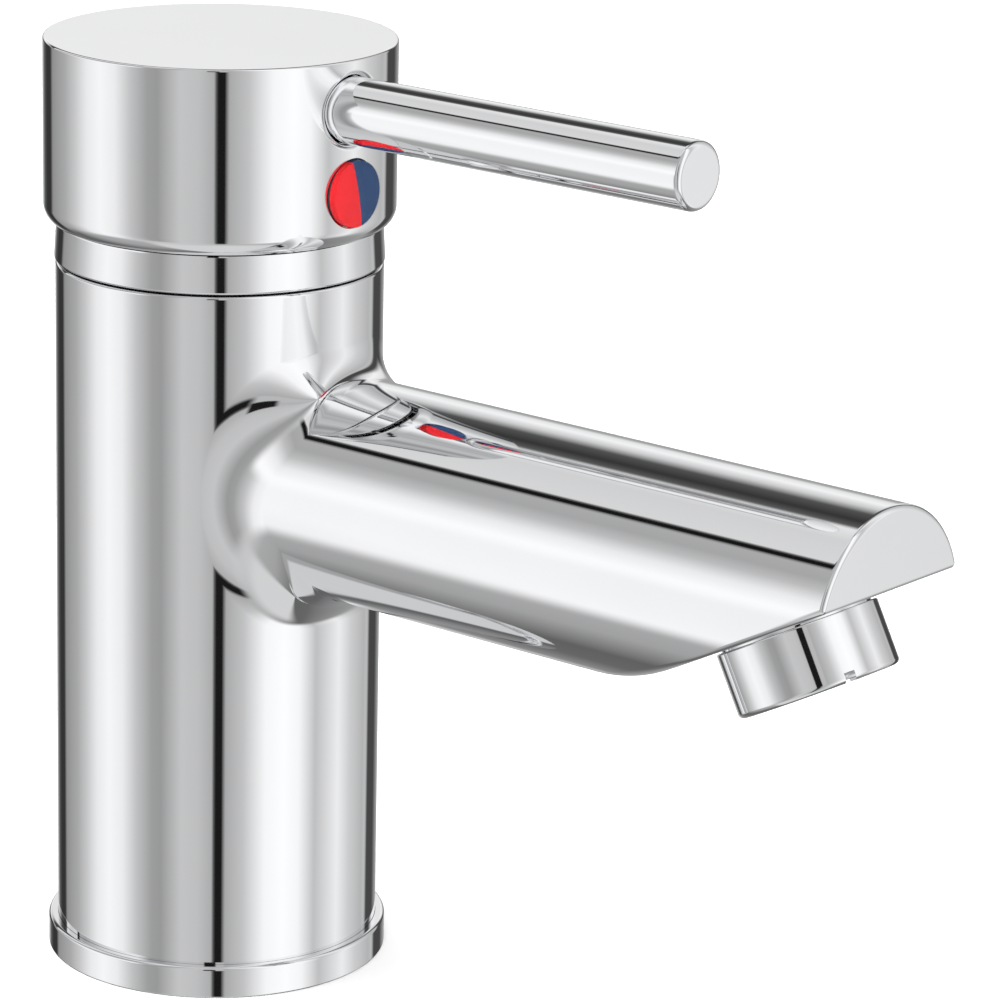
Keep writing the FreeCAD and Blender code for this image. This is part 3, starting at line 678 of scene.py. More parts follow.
def honeycomb_tree(material: bpy.types.Material) -> GeometryTree:
    """A round field of hexagonal cells.

    Args:
        material: the cells' finish.

    Returns:
        A tree with the inputs Cell, Web, Height, Reach and Rows.
    """
    tree = GeometryTree("honeycomb", ["Cell", "Web", "Height", "Reach", "Rows"])
    inputs = tree.inputs.outputs
    pitch = tree.maths("ADD", inputs["Cell"], inputs["Web"])
    row_pitch = tree.maths("MULTIPLY", pitch, math.sqrt(3) / 2)
    span = tree.maths("SUBTRACT", inputs["Rows"], 1.0)
    grid = tree.node("GeometryNodeMeshGrid", {}, {
        "Size X": tree.maths("MULTIPLY", pitch, span),
        "Size Y": tree.maths("MULTIPLY", row_pitch, span),
        "Vertices X": inputs["Rows"],
        "Vertices Y": inputs["Rows"],
    })
    index = tree.node("GeometryNodeInputIndex", {}, {})
    row = tree.maths("FLOORED_MODULO", index.outputs[0], inputs["Rows"])
    odd = tree.maths("FLOORED_MODULO", row, 2.0)
    shift = tree.maths("MULTIPLY", odd, tree.maths("MULTIPLY", pitch, 0.5))
    offset = tree.node("ShaderNodeCombineXYZ", {}, {"X": shift})
    moved = tree.node("GeometryNodeSetPosition", {}, {
        "Geometry": grid.outputs["Mesh"],
        "Offset": offset.outputs[0],
    })
    position = tree.node("GeometryNodeInputPosition", {}, {})
    distance = tree.node("ShaderNodeVectorMath", {"operation": "LENGTH"}, {0: position.outputs[0]})
    chosen = tree.node("FunctionNodeCompare", {"operation": "LESS_THAN"}, {
        0: distance.outputs["Value"],
        1: inputs["Reach"],
    })
    corner = tree.maths("DIVIDE", pitch, math.sqrt(3))
    ring = tree.node("GeometryNodeCurvePrimitiveCircle", {"mode": "RADIUS"}, {
        "Resolution": 6,
        "Radius": corner,
    })
    section = tree.node("GeometryNodeCurvePrimitiveQuadrilateral", {"mode": "RECTANGLE"}, {
        "Width": inputs["Web"],
        "Height": inputs["Height"],
    })
    cell = tree.node("GeometryNodeCurveToMesh", {}, {
        "Curve": ring.outputs[0],
        "Profile Curve": section.outputs[0],
    })
    upright_cell = tree.node("GeometryNodeTransform", {}, {
        "Geometry": cell.outputs[0],
        "Rotation": (0.0, 0.0, math.pi / 6),
    })
    cells = tree.node("GeometryNodeInstanceOnPoints", {}, {
        "Points": moved.outputs[0],
        "Selection": chosen.outputs[0],
        "Instance": upright_cell.outputs[0],
    })
    tree.finish(cells.outputs[0], material)
    return tree


# ---------------------------------------------------------------- shader maths
@dataclass(frozen=True)
class Signal:
    """A number socket of a shader that Python expressions can work on."""

    shader: "Shader"
    socket: bpy.types.NodeSocket

    def _maths(self, operation: str, a: Any, b: Any) -> "Signal":
        """One Math node on two values."""
        return self.shader.signal("ShaderNodeMath", {"operation": operation}, {0: a, 1: b})

    def __add__(self, other: Any) -> "Signal":
        """Sum."""
        return self._maths("ADD", self, other)

    __radd__ = __add__

    def __mul__(self, other: Any) -> "Signal":
        """Product."""
        return self._maths("MULTIPLY", self, other)

    __rmul__ = __mul__

    def __sub__(self, other: Any) -> "Signal":
        """Difference."""
        return self._maths("SUBTRACT", self, other)

    def __rsub__(self, other: Any) -> "Signal":
        """Difference from a number."""
        return self._maths("SUBTRACT", other, self)

    def __truediv__(self, other: Any) -> "Signal":
        """Quotient."""
        return self._maths("DIVIDE", self, other)

    def fraction(self) -> "Signal":
        """The part after the whole number."""
        return self._maths("FRACT", self, 0.0)

    def angle(self, other: "Signal") -> "Signal":
        """The angle whose tangent is this value over the other, in turns."""
        return self._maths("ARCTAN2", self, other) / (2 * math.pi)

    def step(self, low: float, high: float) -> "Signal":
        """A smooth rise from 0 at one value to 1 at another."""
        settings = {"interpolation_type": "SMOOTHSTEP"}
        values = {"Value": self, "From Min": low, "From Max": high}
        return self.shader.signal("ShaderNodeMapRange", settings, values)


class Shader:
    """A node tree that is built node by node."""

    def __init__(self, tree: bpy.types.NodeTree) -> None:
        """Start the tree empty."""
        self.tree = tree
        tree.nodes.clear()

    def node(self, kind: str, settings: dict[str, Any], values: dict[Any, Any]) -> bpy.types.Node:
        """Add a node.

        Args:
            kind: the node's type.
            settings: its own properties, set first, where stops are a ramp's colours.
            values: numbers, colours, sockets or signals for its inputs, by name or index.

        Returns:
            The new node.
        """
        node = self.tree.nodes.new(kind)
        for key, value in settings.items():
            if key == "stops":
                self._stops(node.color_ramp, value)
            else:
                setattr(node, key, value)
        for key, value in values.items():
            source = value.socket if isinstance(value, Signal) else value
            if isinstance(source, bpy.types.NodeSocket):
                self.tree.links.new(source, node.inputs[key])
            else:
                node.inputs[key].default_value = source
        return node

    @staticmethod
    def _stops(ramp: bpy.types.ColorRamp, stops: Sequence[tuple[float, float]]) -> None:
        """Set a ramp's stops from places and grey levels."""
        while len(ramp.elements) < len(stops):
            ramp.elements.new(1.0)
        for element, (place, level) in zip(ramp.elements, stops):
            element.position = place
            element.color = (level, level, level, 1.0)

    def signal(self, kind: str, settings: dict[str, Any], values: dict[Any, Any],
               output: int | str = 0) -> Signal:
        """One output of a new node, for use in expressions."""
        return Signal(self, self.node(kind, settings, values).outputs[output])

    def position(self) -> bpy.types.NodeSocket:
        """The Object coordinates."""
        return self.node("ShaderNodeTexCoord", {}, {}).outputs["Object"]

    def noise(self, scale: float, detail: float = 2.0, stretch: Corner = (1.0, 1.0, 1.0)) -> Signal:
        """Noise over the object.

        Args:
            scale: how many features there are in a metre.
            detail: octaves.
            stretch: scale of each axis.

        Returns:
            The noise, from 0 to 1 about 0.5.
        """
        vector = self.node("ShaderNodeMapping", {}, {
            "Vector": self.position(),
            "Scale": stretch,
        })
        return self.signal("ShaderNodeTexNoise", {}, {
            "Vector": vector.outputs[0],
            "Scale": scale,
            "Detail": detail,
        })

    def bump(self, height: Signal, depth: float, strength: float = 1.0) -> bpy.types.NodeSocket:
        """A bump normal from a height.

        Args:
            height: the height, from 0 to 1.
            depth: how deep 1 is, in metres.
            strength: how much of the bump is used.

        Returns:
            The normal.
        """
        return self.node("ShaderNodeBump", {}, {
            "Height": height,
            "Distance": depth,
            "Strength": strength,
        }).outputs["Normal"]

    def blend(self, factor: Signal, a: Sequence[float], b: Sequence[float]) -> bpy.types.NodeSocket:
        """A colour between two colours."""
        mix = self.node("ShaderNodeMix", {"data_type": "RGBA"}, {
            "Factor": factor,
            "A": (*a, 1.0),
            "B": (*b, 1.0),
        })
        return mix.outputs["Result"]


Colour = tuple[float, float, float]


@dataclass(frozen=True)
class Finish:
    """A surface finish, with what all of them share."""

    name: str
    colour: Colour
    second: Colour
    roughness: float
    roughness_range: float
    grain: float

    def metallic(self) -> float:
        """How metallic the finish is."""
        return 0.0

    def fixed(self) -> dict[str, Any]:
        """Values that are the same all over the surface, by socket."""
        return {}

    def surface(self, shader: Shader) -> dict[str, Any]:
        """What changes over the surface.

        Args:
            shader: the material's nodes.

        Returns:
            Links for the sockets of the main shader.
        """
        tone = shader.noise(self.grain, 3.0)
        spread = shader.noise(self.grain * 0.3, 2.0)
        return {
            "Base Color": shader.blend(tone, self.colour, self.second),
            "Roughness": self.roughness + (spread - 0.5) * self.roughness_range,
        }

    def material(self) -> bpy.types.Material:
        """The finish as a new material."""
        material = bpy.data.materials.new(self.name)
        material.use_nodes = True
        shader = Shader(material.node_tree)
        values = {"Metallic": self.metallic(), **self.fixed(), **self.surface(shader)}
        main = shader.node("ShaderNodeBsdfPrincipled", {}, values)
        shader.node("ShaderNodeOutputMaterial", {}, {"Surface": main.outputs[0]})
        return material


@dataclass(frozen=True)
class PolishedChrome(Finish):
    """Bright plate: faint polishing haze and a trace of waviness in the casting below."""

    waviness: float = 2.0e-6
    haze_scale: float = 2600.0

    def metallic(self) -> float:
        """Fully metallic."""
        return 1.0

    def surface(self, shader: Shader) -> dict[str, Any]:
        """Cloudy haze, fine wipe marks and slow waves."""
        cloud = shader.noise(self.grain, 3.0)
        wipe = shader.noise(self.haze_scale, 2.0, (0.15, 1.0, 1.0))
        haze = (cloud - 0.5) * self.roughness_range + (wipe - 0.5) * self.roughness_range * 0.5
        return {
            "Base Color": shader.blend(cloud, self.colour, self.second),
            "Roughness": self.roughness + haze,
            "Normal": shader.bump(shader.noise(self.grain, 1.0), self.waviness),
        }


@dataclass(frozen=True)
class TurnedMetal(Finish):
    """Machined metal with fine lines around an upright axis."""

    lines: float = 3.0e3
    depth: float = 1.5e-5

    def metallic(self) -> float:
        """Fully metallic."""
        return 1.0

    def surface(self, shader: Shader) -> dict[str, Any]:
        """Tool lines stacked along the height."""
        base = super().surface(shader)
        lines = shader.noise(self.lines, 1.0, (0.04, 0.04, 1.0))
        base["Normal"] = shader.bump(lines, self.depth, 0.5)
        return base


@dataclass(frozen=True)
class Moulded(Finish):
    """Moulded plastic, rubber or ceramic with a fine surface texture."""

    depth: float = 2.0e-5
    coat: float = 0.0
    gloss: float = 0.5

    def fixed(self) -> dict[str, Any]:
        """The strength of the gloss and the clear layer over it."""
        return {
            "Specular IOR Level": self.gloss,
            "Coat Weight": self.coat,
            "Coat Roughness": 0.05,
        }

    def surface(self, shader: Shader) -> dict[str, Any]:
        """Mottled tone and fine pits."""
        base = super().surface(shader)
        base["Normal"] = shader.bump(shader.noise(self.grain * 6.0, 2.0), self.depth, 0.4)
        return base


@dataclass(frozen=True)
class ClearLens(Finish):
    """A clear domed lens that shows the colours behind it."""

    alpha: float = 0.1

    def fixed(self) -> dict[str, Any]:
        """Thin and clear."""
        return {"Alpha": self.alpha, "IOR": 1.49}


class Finishes:
    """The materials of the mixer, each made once."""

    def __init__(self) -> None:
        """Make every material."""
        self.chrome = PolishedChrome(
            "polished_chrome", (0.93, 0.935, 0.945), (0.90, 0.905, 0.915), 0.035, 0.03, 60.0
        ).material()
        self.brass = TurnedMetal(
            "machined_brass", (0.72, 0.50, 0.22), (0.60, 0.40, 0.17), 0.28, 0.15, 300.0
        ).material()
        self.steel = TurnedMetal(
            "turned_steel", (0.62, 0.63, 0.64), (0.52, 0.53, 0.54), 0.25, 0.12, 400.0
        ).material()
        self.rubber = Moulded(
            "seal_rubber", (0.02, 0.02, 0.022), (0.035, 0.035, 0.036), 0.62, 0.2, 500.0, 4.0e-5
        ).material()
        self.dark_plastic = Moulded(
            "cartridge_plastic", (0.10, 0.11, 0.12), (0.14, 0.15, 0.16), 0.45, 0.2, 400.0
        ).material()
        self.light_plastic = Moulded(
            "carrier_plastic", (0.80, 0.80, 0.77), (0.70, 0.70, 0.67), 0.42, 0.2, 400.0
        ).material()
        self.ceramic = Moulded(
            "lapped_ceramic", (0.86, 0.85, 0.82), (0.80, 0.79, 0.76), 0.12, 0.08, 900.0, 5.0e-6, 0.4
        ).material()
        self.jet_plastic = Moulded(
            "aerator_plastic", (0.72, 0.73, 0.74), (0.60, 0.61, 0.62), 0.38, 0.15, 400.0
        ).material()
        self.button_plastic = Moulded(
            "button_plastic", (0.012, 0.012, 0.014), (0.03, 0.03, 0.033), 0.22, 0.1, 600.0,
            5.0e-6, 0.5,
        ).material()
        self.red = Moulded(
            "hot_red", (0.80, 0.016, 0.022), (0.62, 0.010, 0.014), 0.4, 0.1, 500.0,
            4.0e-6, 0.0, 0.1,
        ).material()
        self.blue = Moulded(
            "cold_blue", (0.020, 0.058, 0.15), (0.014, 0.042, 0.12), 0.4, 0.1, 500.0,
            4.0e-6, 0.0, 0.1,
        ).material()
        self.lens = ClearLens(
            "clear_lens", (0.10, 0.10, 0.11), (0.08, 0.08, 0.09), 0.03, 0.02, 200.0
        ).material()
        self.floor = Moulded(
            "pale_floor", (0.84, 0.84, 0.84), (0.81, 0.81, 0.81), 0.85, 0.05, 40.0, 1.0e-5
        ).material()


def settle(piece: bpy.types.Object, body: Body, slot: Slot, *nodes: str) -> None:
    """Tie a finished piece to its body and hide the CAD nodes it stands for."""
    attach(piece, body.value)
    if nodes:
        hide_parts(*nodes)


# ---------------------------------------------------------------- sub-assemblies
@dataclass
class CastBody:
    """The column with its spout, from the base ring up to the rim under the collar."""

    finishes: Finishes
    rim_rounding: float = 0.5
    recess_radius: float = 19.0
    bridge_bottom: float = 14.0
    spout_drop: float = 30.4
    spout_radius: float = 16.6
    root_fillet: float = 4.5
    side_fillet: float = 16.0
    tip_edge_rise: float = 4.85
    tip_rounding: float = 0.8
    tip_softening: float = 8.0
    softening_start: float = 100.0
    softening_span: float = 80.0
    socket_radius: float = 10.95
    socket_depth: float = 8.0
    pocket_clearance: float = 0.35
    thread_clearance: float = 0.05
    thread_relief: float = 2.0
    window_columns: int = 41
    window_margin: float = 2.6
    fillet_rings: int = 10
    fillet_parts: int = 14
    tip_parts: int = 8
    length_parts: int = 6
    wall: float = field(init=False)
    bottom: float = field(init=False)
    top: float = field(init=False)
    reach: float = field(init=False)
    axis_z: float = field(init=False)

    def __post_init__(self) -> None:
        """Read the outside sizes from the frame."""
        low, high = node_box("spout_body")
        self.wall = float(high[1])
        self.bottom = float(low[2])
        self.top = float(high[2])
        self.reach = float(high[0])
        self.axis_z = self.top - self.spout_drop

    def heights(self) -> Array:
        """Heights of the column wall's rows, close together beside the spout."""
        half = self.spout_radius + self.root_fillet + self.window_margin
        low, high = self.axis_z - half, self.axis_z + half
        start = np.linspace(self.bottom, low, 5)[:-1]
        end = np.linspace(high, self.top - self.rim_rounding, 3)[1:]
        return np.concatenate([start, np.linspace(low, high, 49), end])

    def column(self, skin: Skin) -> None:
        """Add the column and the spout with the blend between them.

        Args:
            skin: the mesh to add to.
        """
        heights = self.heights()
        window = Window(self.window_columns, 4, 52)
        angles = round_wall(skin, self.wall, heights, [window])
        root = Crossing(
            self.wall, self.spout_radius, self.axis_z, self.root_fillet, self.side_fillet, False
        )
        boundary = window.boundary(angles, heights)
        turn = root.around(boundary)
        for side in (-1.0, 1.0):
            nearest = int(np.argmin(np.abs(turn - side * self.corner_turn())))
            turn[nearest] = side * self.corner_turn()
        root.fill(skin, boundary, turn, self.fillet_rings, self.fillet_parts)
        self.spout(skin, turn, root.on_bore(turn))

    def corner_turn(self) -> float:
        """Where the tip's end face meets the oblique cut, about the spout's axis."""
        rise = self.edge_height() - self.axis_z
        return math.acos(rise / (self.spout_radius - self.tip_rounding))

    def edge_height(self) -> float:
        """Height of the straight edge between the end face and the cut, before its rounding."""
        slope = outlet_slope()
        rise = self.tip_rounding * (1 - math.sin(slope)) / math.cos(slope)
        return self.axis_z + self.tip_edge_rise + rise

    def spout(self, skin: Skin, turn: Array, root: Array) -> None:
        """Add the spout's tube, its rolled tip edges, its end face and its oblique cut.

        Args:
            skin: the mesh to add to.
            turn: angles about the spout's axis.
            root: where the tube leaves the blend, for each angle.
        """
        slope = outlet_slope()
        rolled = self.tip_rounding
        inner = self.spout_radius - rolled
        zeros = np.zeros_like(turn)
        ray = np.stack([zeros, np.sin(turn), np.cos(turn)], axis=-1)
        height = self.axis_z + inner * np.cos(turn)
        end = np.full_like(turn, self.reach - rolled)
        on_cut = height < self.edge_height() - 1e-6
        end[on_cut] -= (self.edge_height() - height[on_cut]) / math.tan(slope)
        spine = np.stack([end, inner * np.sin(turn), height], axis=-1)
        soft = self.softness(turn)
        tube_end = spine + rolled * ray
        tube_end[:, 0] -= soft
        share = np.linspace(0.0, 1.0, self.length_parts + 1)[:, None, None]
        tube = root + (tube_end - root) * share
        skin.patch(closed(tube), closed(np.tile(ray, (self.length_parts + 1, 1, 1))))
        front = np.array([1.0, 0.0, 0.0])
        below = np.array([math.sin(slope), 0.0, -math.cos(slope)])
        corner = self.corner_turn() + 1e-9
        order = np.argsort(turn)
        upper = order[np.abs(turn[order]) <= corner]
        lower = np.argsort(turn % (2 * math.pi))
        lower = lower[np.abs(turn[lower]) >= corner - 2e-9]
        roll = swing(ray[upper], np.tile(front, (len(upper), 1)), self.tip_parts)
        skin.patch(spine[upper] + rolled * roll, roll)
        roll = swing(ray[lower], np.tile(below, (len(lower), 1)), self.tip_parts)
        corner = self.spout_radius * ray[lower]
        corner[:, 2] += self.axis_z
        drop = self.axis_z + self.tip_edge_rise - corner[:, 2]
        corner[:, 0] = self.reach - drop / math.tan(slope)
        inward = -ray[lower]
        inward[:, 0] = -np.cos(turn[lower]) / math.tan(slope)
        cut_edge = spine[lower] + rolled * below + soft[lower, None] * unit(inward)
        share = np.linspace(0.0, 1.0, self.tip_parts + 1)[:, None, None]
        bow = (1 - share) ** 2 * tube_end[lower] + share ** 2 * cut_edge
        bow += 2 * share * (1 - share) * corner
        weight = np.clip(soft[lower], 0.0, 1.0)[:, None]
        edge = (spine[lower] + rolled * roll) * (1 - weight) + bow * weight
        edge[[0, -1]] = tube_end[lower], cut_edge
        skin.patch(edge, bent_normals(edge, roll, False))
        self.tip_faces(skin, spine[upper], cut_edge, front, below)

    def softness(self, turn: Array) -> Array:
        """How far the cut's rounded edge reaches at each angle, more towards the underside."""
        share = (np.degrees(np.abs(turn)) - self.softening_start) / self.softening_span
        share = np.clip(share, 0.0, 1.0)
        return self.tip_softening * share * share * (3 - 2 * share)

    def tip_faces(
        self, skin: Skin, upper: Array, cut_edge: Array, front: Array, below: Array
    ) -> None:
        """Add the end face, the cut with its socket, and the rounded edge between them.

        Args:
            skin: the mesh to add to.
            upper: spine of the end face's edge.
            cut_edge: where the rounded edge meets the cut.
            front: the end face's direction.
            below: the cut's direction.
        """
        rolled = self.tip_rounding
        edge = upper.copy()
        edge[:, 2] = self.edge_height()
        face = np.stack([upper, edge]) + rolled * front
        skin.patch(face, np.tile(front, (2, len(upper), 1)))
        count = len(edge)
        roll = swing(np.tile(front, (count, 1)), np.tile(below, (count, 1)), self.tip_parts)
        skin.patch(edge + rolled * roll, roll)
        bend = swing(front[None], below[None], self.tip_parts)[:, 0]
        for end in (0, -1):
            side = unit(upper[end] - np.array([upper[end][0], 0.0, self.axis_z]))
            fan = swing(np.tile(side, (len(bend), 1)), bend, self.tip_parts)
            skin.patch(upper[end] + rolled * fan, fan)
        socket = circle(outlet_place(), self.socket_radius)
        outer = np.concatenate([cut_edge, edge[1:-1] + rolled * below])
        skin.flat([outer, socket], below)
        wall = [
            straight((self.socket_radius, 0.0), (self.socket_radius, -self.socket_depth)),
            straight((self.socket_radius, -self.socket_depth), (0.0, -self.socket_depth)),
        ]
        skin.turned(wall, outlet_place())

    def inside(self, skin: Skin) -> None:
        """Add the rim, the cartridge pocket, the recess below and the bridge's underside.

        Args:
            skin: the mesh to add to.
        """
        rim = self.rim_rounding
        seat = float(node_box("port_seals")[0][2])
        ledge = float(node_box("cartridge_nut")[0][2]) - self.thread_relief
        nut = float(node_box("cartridge_nut")[1][1]) + self.thread_clearance
        pocket = float(node_box("cartridge_housing")[1][1]) + self.pocket_clearance
        skin.turned([
            arc((self.wall - rim, self.top - rim), rim, 0.0, math.pi / 2, 8),
            straight((self.wall - rim, self.top), (nut, self.top)),
            straight((nut, self.top), (nut, ledge)),
            straight((nut, ledge), (pocket, ledge)),
            straight((pocket, ledge), (pocket, seat)),
            straight((pocket, seat), (0.0, seat)),
            straight((self.recess_radius, self.bridge_bottom), (self.recess_radius, self.bottom)),
            straight((self.recess_radius, self.bottom), (self.wall, self.bottom)),
        ])
        holes = []
        down = np.array([0.0, 0.0, -1.0])
        for mount in threaded_mounts():
            place = upright(*mount.centre)
            floor = self.bridge_bottom + mount.length
            holes.append(circle(place, mount.radius, self.bridge_bottom))
            skin.turned([
                straight((0.0, floor), (mount.radius, floor)),
                straight((mount.radius, floor), (mount.radius, self.bridge_bottom)),
            ], place)
        skin.flat([circle(upright(), self.recess_radius, self.bridge_bottom)] + holes, down)

    def build(self) -> None:
        """Make the body and tie it to the frame."""
        skin = Skin()
        self.column(skin)
        self.inside(skin)
        piece = skin.build("cast_body", self.finishes.chrome)
        settle(piece, Body.TAP, Slot.CHROME, "spout_body")


@dataclass
class BaseRing:
    """The flange under the column, grooved below for its seal."""

    finishes: Finishes
    bore: float = 19.0
    ledge: float = 3.0
    seat_clearance: float = 0.05
    top_rounding: float = 0.6
    foot_rounding: float = 0.25

    def build(self) -> None:
        """Make the ring and tie it to the frame."""
        radius, top = (float(v) for v in node_box("base_ring")[1][1:])
        seal, seal_top = (float(v) for v in node_box("base_seal")[1][1:])
        seal_bore = self.bore + radius - seal
        seat = float(node_box("spout_body")[1][1]) + self.seat_clearance
        skin = Skin()
        skin.turned(outline([
            (self.bore, 0.0, 0.0),
            (seal_bore, 0.0, 0.0),
            (seal_bore, seal_top, 0.0),
            (seal, seal_top, 0.0),
            (seal, 0.0, 0.0),
            (radius, 0.0, self.foot_rounding),
            (radius, top, self.top_rounding),
            (seat, top, 0.0),
            (seat, self.ledge, 0.0),
            (self.bore, self.ledge, 0.0),
        ]))
        piece = skin.build("base_flange", self.finishes.chrome)
        settle(piece, Body.TAP, Slot.CHROME, "base_ring")


@dataclass
class Collar:
    """The domed cover between the column and the cap."""

    finishes: Finishes
    taper: float = 0.35
    shoulder_drop: float = 2.0
    shoulder_rounding: float = 1.0
    bottom_rounding: float = 0.4
    wall: float = 1.5
    opening: float = 13.5
    lip_rounding: float = 0.3
    spigot_wall: float = 2.5
    cover_gap: float = 0.3
    spigot_clearance: float = 0.05

    def build(self) -> None:
        """Make the cover and tie it to the frame."""
        low, high = node_box("dome_cover")
        radius, top = float(high[1]), float(high[2])
        bottom = float(node_box("spout_body")[1][2]) + self.cover_gap
        spigot = float(node_box("cartridge_nut")[1][1]) - self.spigot_clearance
        shoulder = top - self.shoulder_drop
        inner = radius - self.taper - 2 * self.wall
        floor = bottom + self.wall
        skin = Skin()
        skin.turned(outline([
            (spigot, bottom, 0.0),
            (radius, bottom, self.bottom_rounding),
            (radius - self.taper, shoulder, self.shoulder_rounding),
            (self.opening, top, self.lip_rounding),
            (self.opening, top - self.wall, 0.0),
            (inner, shoulder - self.wall, 0.0),
            (radius - 2 * self.wall, floor, 0.0),
            (spigot - self.spigot_wall, floor, 0.0),
            (spigot - self.spigot_wall, float(low[2]), 0.0),
            (spigot, float(low[2]), 0.0),
        ], parts=14))
        piece = skin.build("collar_cover", self.finishes.chrome)
        settle(piece, Body.TAP, Slot.CHROME, "dome_cover")


@dataclass
class HandleCap:
    """The cap with its lever pocket, its index recess and the hub inside."""

    finishes: Finishes
    lip_wall: float = 1.24
    wall: float = 2.74
    ceiling: float = 3.0
    lip_depth: float = 4.8
    bottom_rounding: float = 3.0
    top_rounding: float = 0.4
    lever_clearance: float = 0.05
    lever_rounding: float = 1.05
    index_clearance: float = 0.05
    index_rounding: float = 0.2
    index_depth: float = 2.9
    window_columns: int = 12
    window_rows: int = 24
    hole_parts: int = 4
    window_margin: float = 0.4
    hub_radius: float = 8.5
    hub_start: float = 13.0
    hub_end: float = 35.4
    hub_lean: float = 11.0

    def holes(self) -> list[tuple[Crossing, float]]:
        """The index recess and the lever pocket, each with the place of its seat."""
        radius = float(node_box("handle_cap")[1][1])
        index_low, index_high = node_box("index_plug")
        rod_low, rod_high = node_box("lever_rod")
        index = Crossing(
            radius,
            float(index_high[1]) + self.index_clearance,
            float(index_low[2] + index_high[2]) / 2,
            self.index_rounding,
            self.index_rounding,
            True,
        )
        pocket = Crossing(
            radius,
            float(rod_high[1]) + self.lever_clearance,
            float(rod_low[2] + rod_high[2]) / 2,
            self.lever_rounding,
            self.lever_rounding,
            True,
        )
        return [(index, radius - self.index_depth), (pocket, float(rod_low[0]))]

    def build(self) -> None:
        """Make the cap and tie it to the frame."""
        low, high = node_box("handle_cap")
        radius, bottom, top = float(high[1]), float(low[2]), float(high[2])
        holes = self.holes()
        (index_low, index_high), (pocket_low, pocket_high) = (hole.span() for hole, _ in holes)
        edges = [
            index_low - self.window_margin,
            (index_high + pocket_low) / 2,
            pocket_high + self.window_margin,
        ]
        start = bottom + self.bottom_rounding
        edges[0] = max(edges[0], start + 0.05)
        rows = self.window_rows
        heights = np.concatenate([
            [start],
            np.linspace(edges[0], edges[1], rows + 1),
            np.linspace(edges[1], edges[2], rows + 1)[1:],
            [top - self.top_rounding],
        ])
        windows = [Window(self.window_columns, 1 + rows * k, 1 + rows * (k + 1)) for k in range(2)]
        skin = Skin()
        angles = round_wall(skin, radius, heights, windows)
        for window, (hole, seat) in zip(windows, holes):
            boundary = window.boundary(angles, heights)
            turn = hole.around(boundary)
            hole.fill(skin, boundary, turn, self.hole_parts, self.hole_parts)
            self.recess(skin, hole, turn, seat)
        self.shell(skin, radius, bottom, top)
        self.hub(skin)
        piece = skin.build("handle_shell", self.finishes.chrome)
        settle(piece, Body.HANDLE, Slot.CHROME, "handle_cap")

    @staticmethod
    def recess(skin: Skin, hole: Crossing, turn: Array, seat: float) -> None:
        """Add the wall and the flat seat of a level hole.

        Args:
            skin: the mesh to add to.
            hole: the hole.
            turn: angles about its axis.
            seat: where its seat is along X.
        """
        ray = np.stack([np.zeros_like(turn), np.sin(turn), np.cos(turn)], axis=-1)
        edge = hole.on_bore(turn)
        corner = edge.copy()
        corner[:, 0] = seat
        skin.patch(closed(np.stack([edge, corner])), closed(np.stack([-ray, -ray])))
        middle = np.tile([seat, 0.0, hole.height], (len(turn), 1))
        front = np.tile([1.0, 0.0, 0.0], (len(turn), 1))
        skin.patch(closed(np.stack([corner, middle])), closed(np.stack([front, front])))

    def shell(self, skin: Skin, radius: float, bottom: float, top: float) -> None:
        """Add the cap's lower edge, its top and its inside.

        Args:
            skin: the mesh to add to.
            radius: the cap's radius.
            bottom: height of its lower edge.
            top: height of its top face.
        """
        rolled = self.bottom_rounding
        lip = radius - self.lip_wall
        bore = radius - self.wall
        step = bottom + self.lip_depth
        ceiling = top - self.ceiling
        first = -math.acos((lip - radius + rolled) / rolled)
        edge = bottom + rolled + rolled * math.sin(first)
        small = self.top_rounding
        skin.turned([
            arc((radius - rolled, bottom + rolled), rolled, first, 0.0, 16),
            arc((radius - small, top - small), small, 0.0, math.pi / 2, 8),
            straight((radius - small, top), (0.0, top)),
            straight((lip, step), (lip, edge)),
            straight((bore, step), (lip, step)),
            straight((bore, ceiling), (bore, step)),
            straight((0.0, ceiling), (bore, ceiling)),
        ])

    def hub(self, skin: Skin) -> None:
        """Add the hub that holds the leaning spindle."""
        lean = math.radians(self.hub_lean)
        pivot = next(j for j in frame["joints"] if j["name"] == "handle_lift")["pos_m"]
        axis = np.array([math.sin(lean), 0.0, math.cos(lean)])
        side = np.eye(3)[1]
        place = Place(np.array(pivot) / MM, np.cross(side, axis), side, axis)
        skin.turned(outline([
            (0.0, self.hub_start, 0.0),
            (self.hub_radius, self.hub_start, 0.4),
            (self.hub_radius, self.hub_end, 0.0),
            (0.0, self.hub_end, 0.0),
        ]), place)


@dataclass
class Lever:
    """The straight round lever."""

    finishes: Finishes
    end_rounding: float = 0.9

    def build(self) -> None:
        """Make the lever and tie it to the frame."""
        low, high = node_box("lever_rod")
        radius = float(high[1])
        skin = Skin()
        skin.turned(outline([
            (0.0, float(low[0]), 0.0),
            (radius, float(low[0]), 0.0),
            (radius, float(high[0]), self.end_rounding),
            (0.0, float(high[0]), 0.0),
        ], parts=12), along_spout(float(low[2] + high[2]) / 2))
        piece = skin.build("lever_bar", self.finishes.chrome)
        settle(piece, Body.HANDLE, Slot.CHROME, "lever_rod")


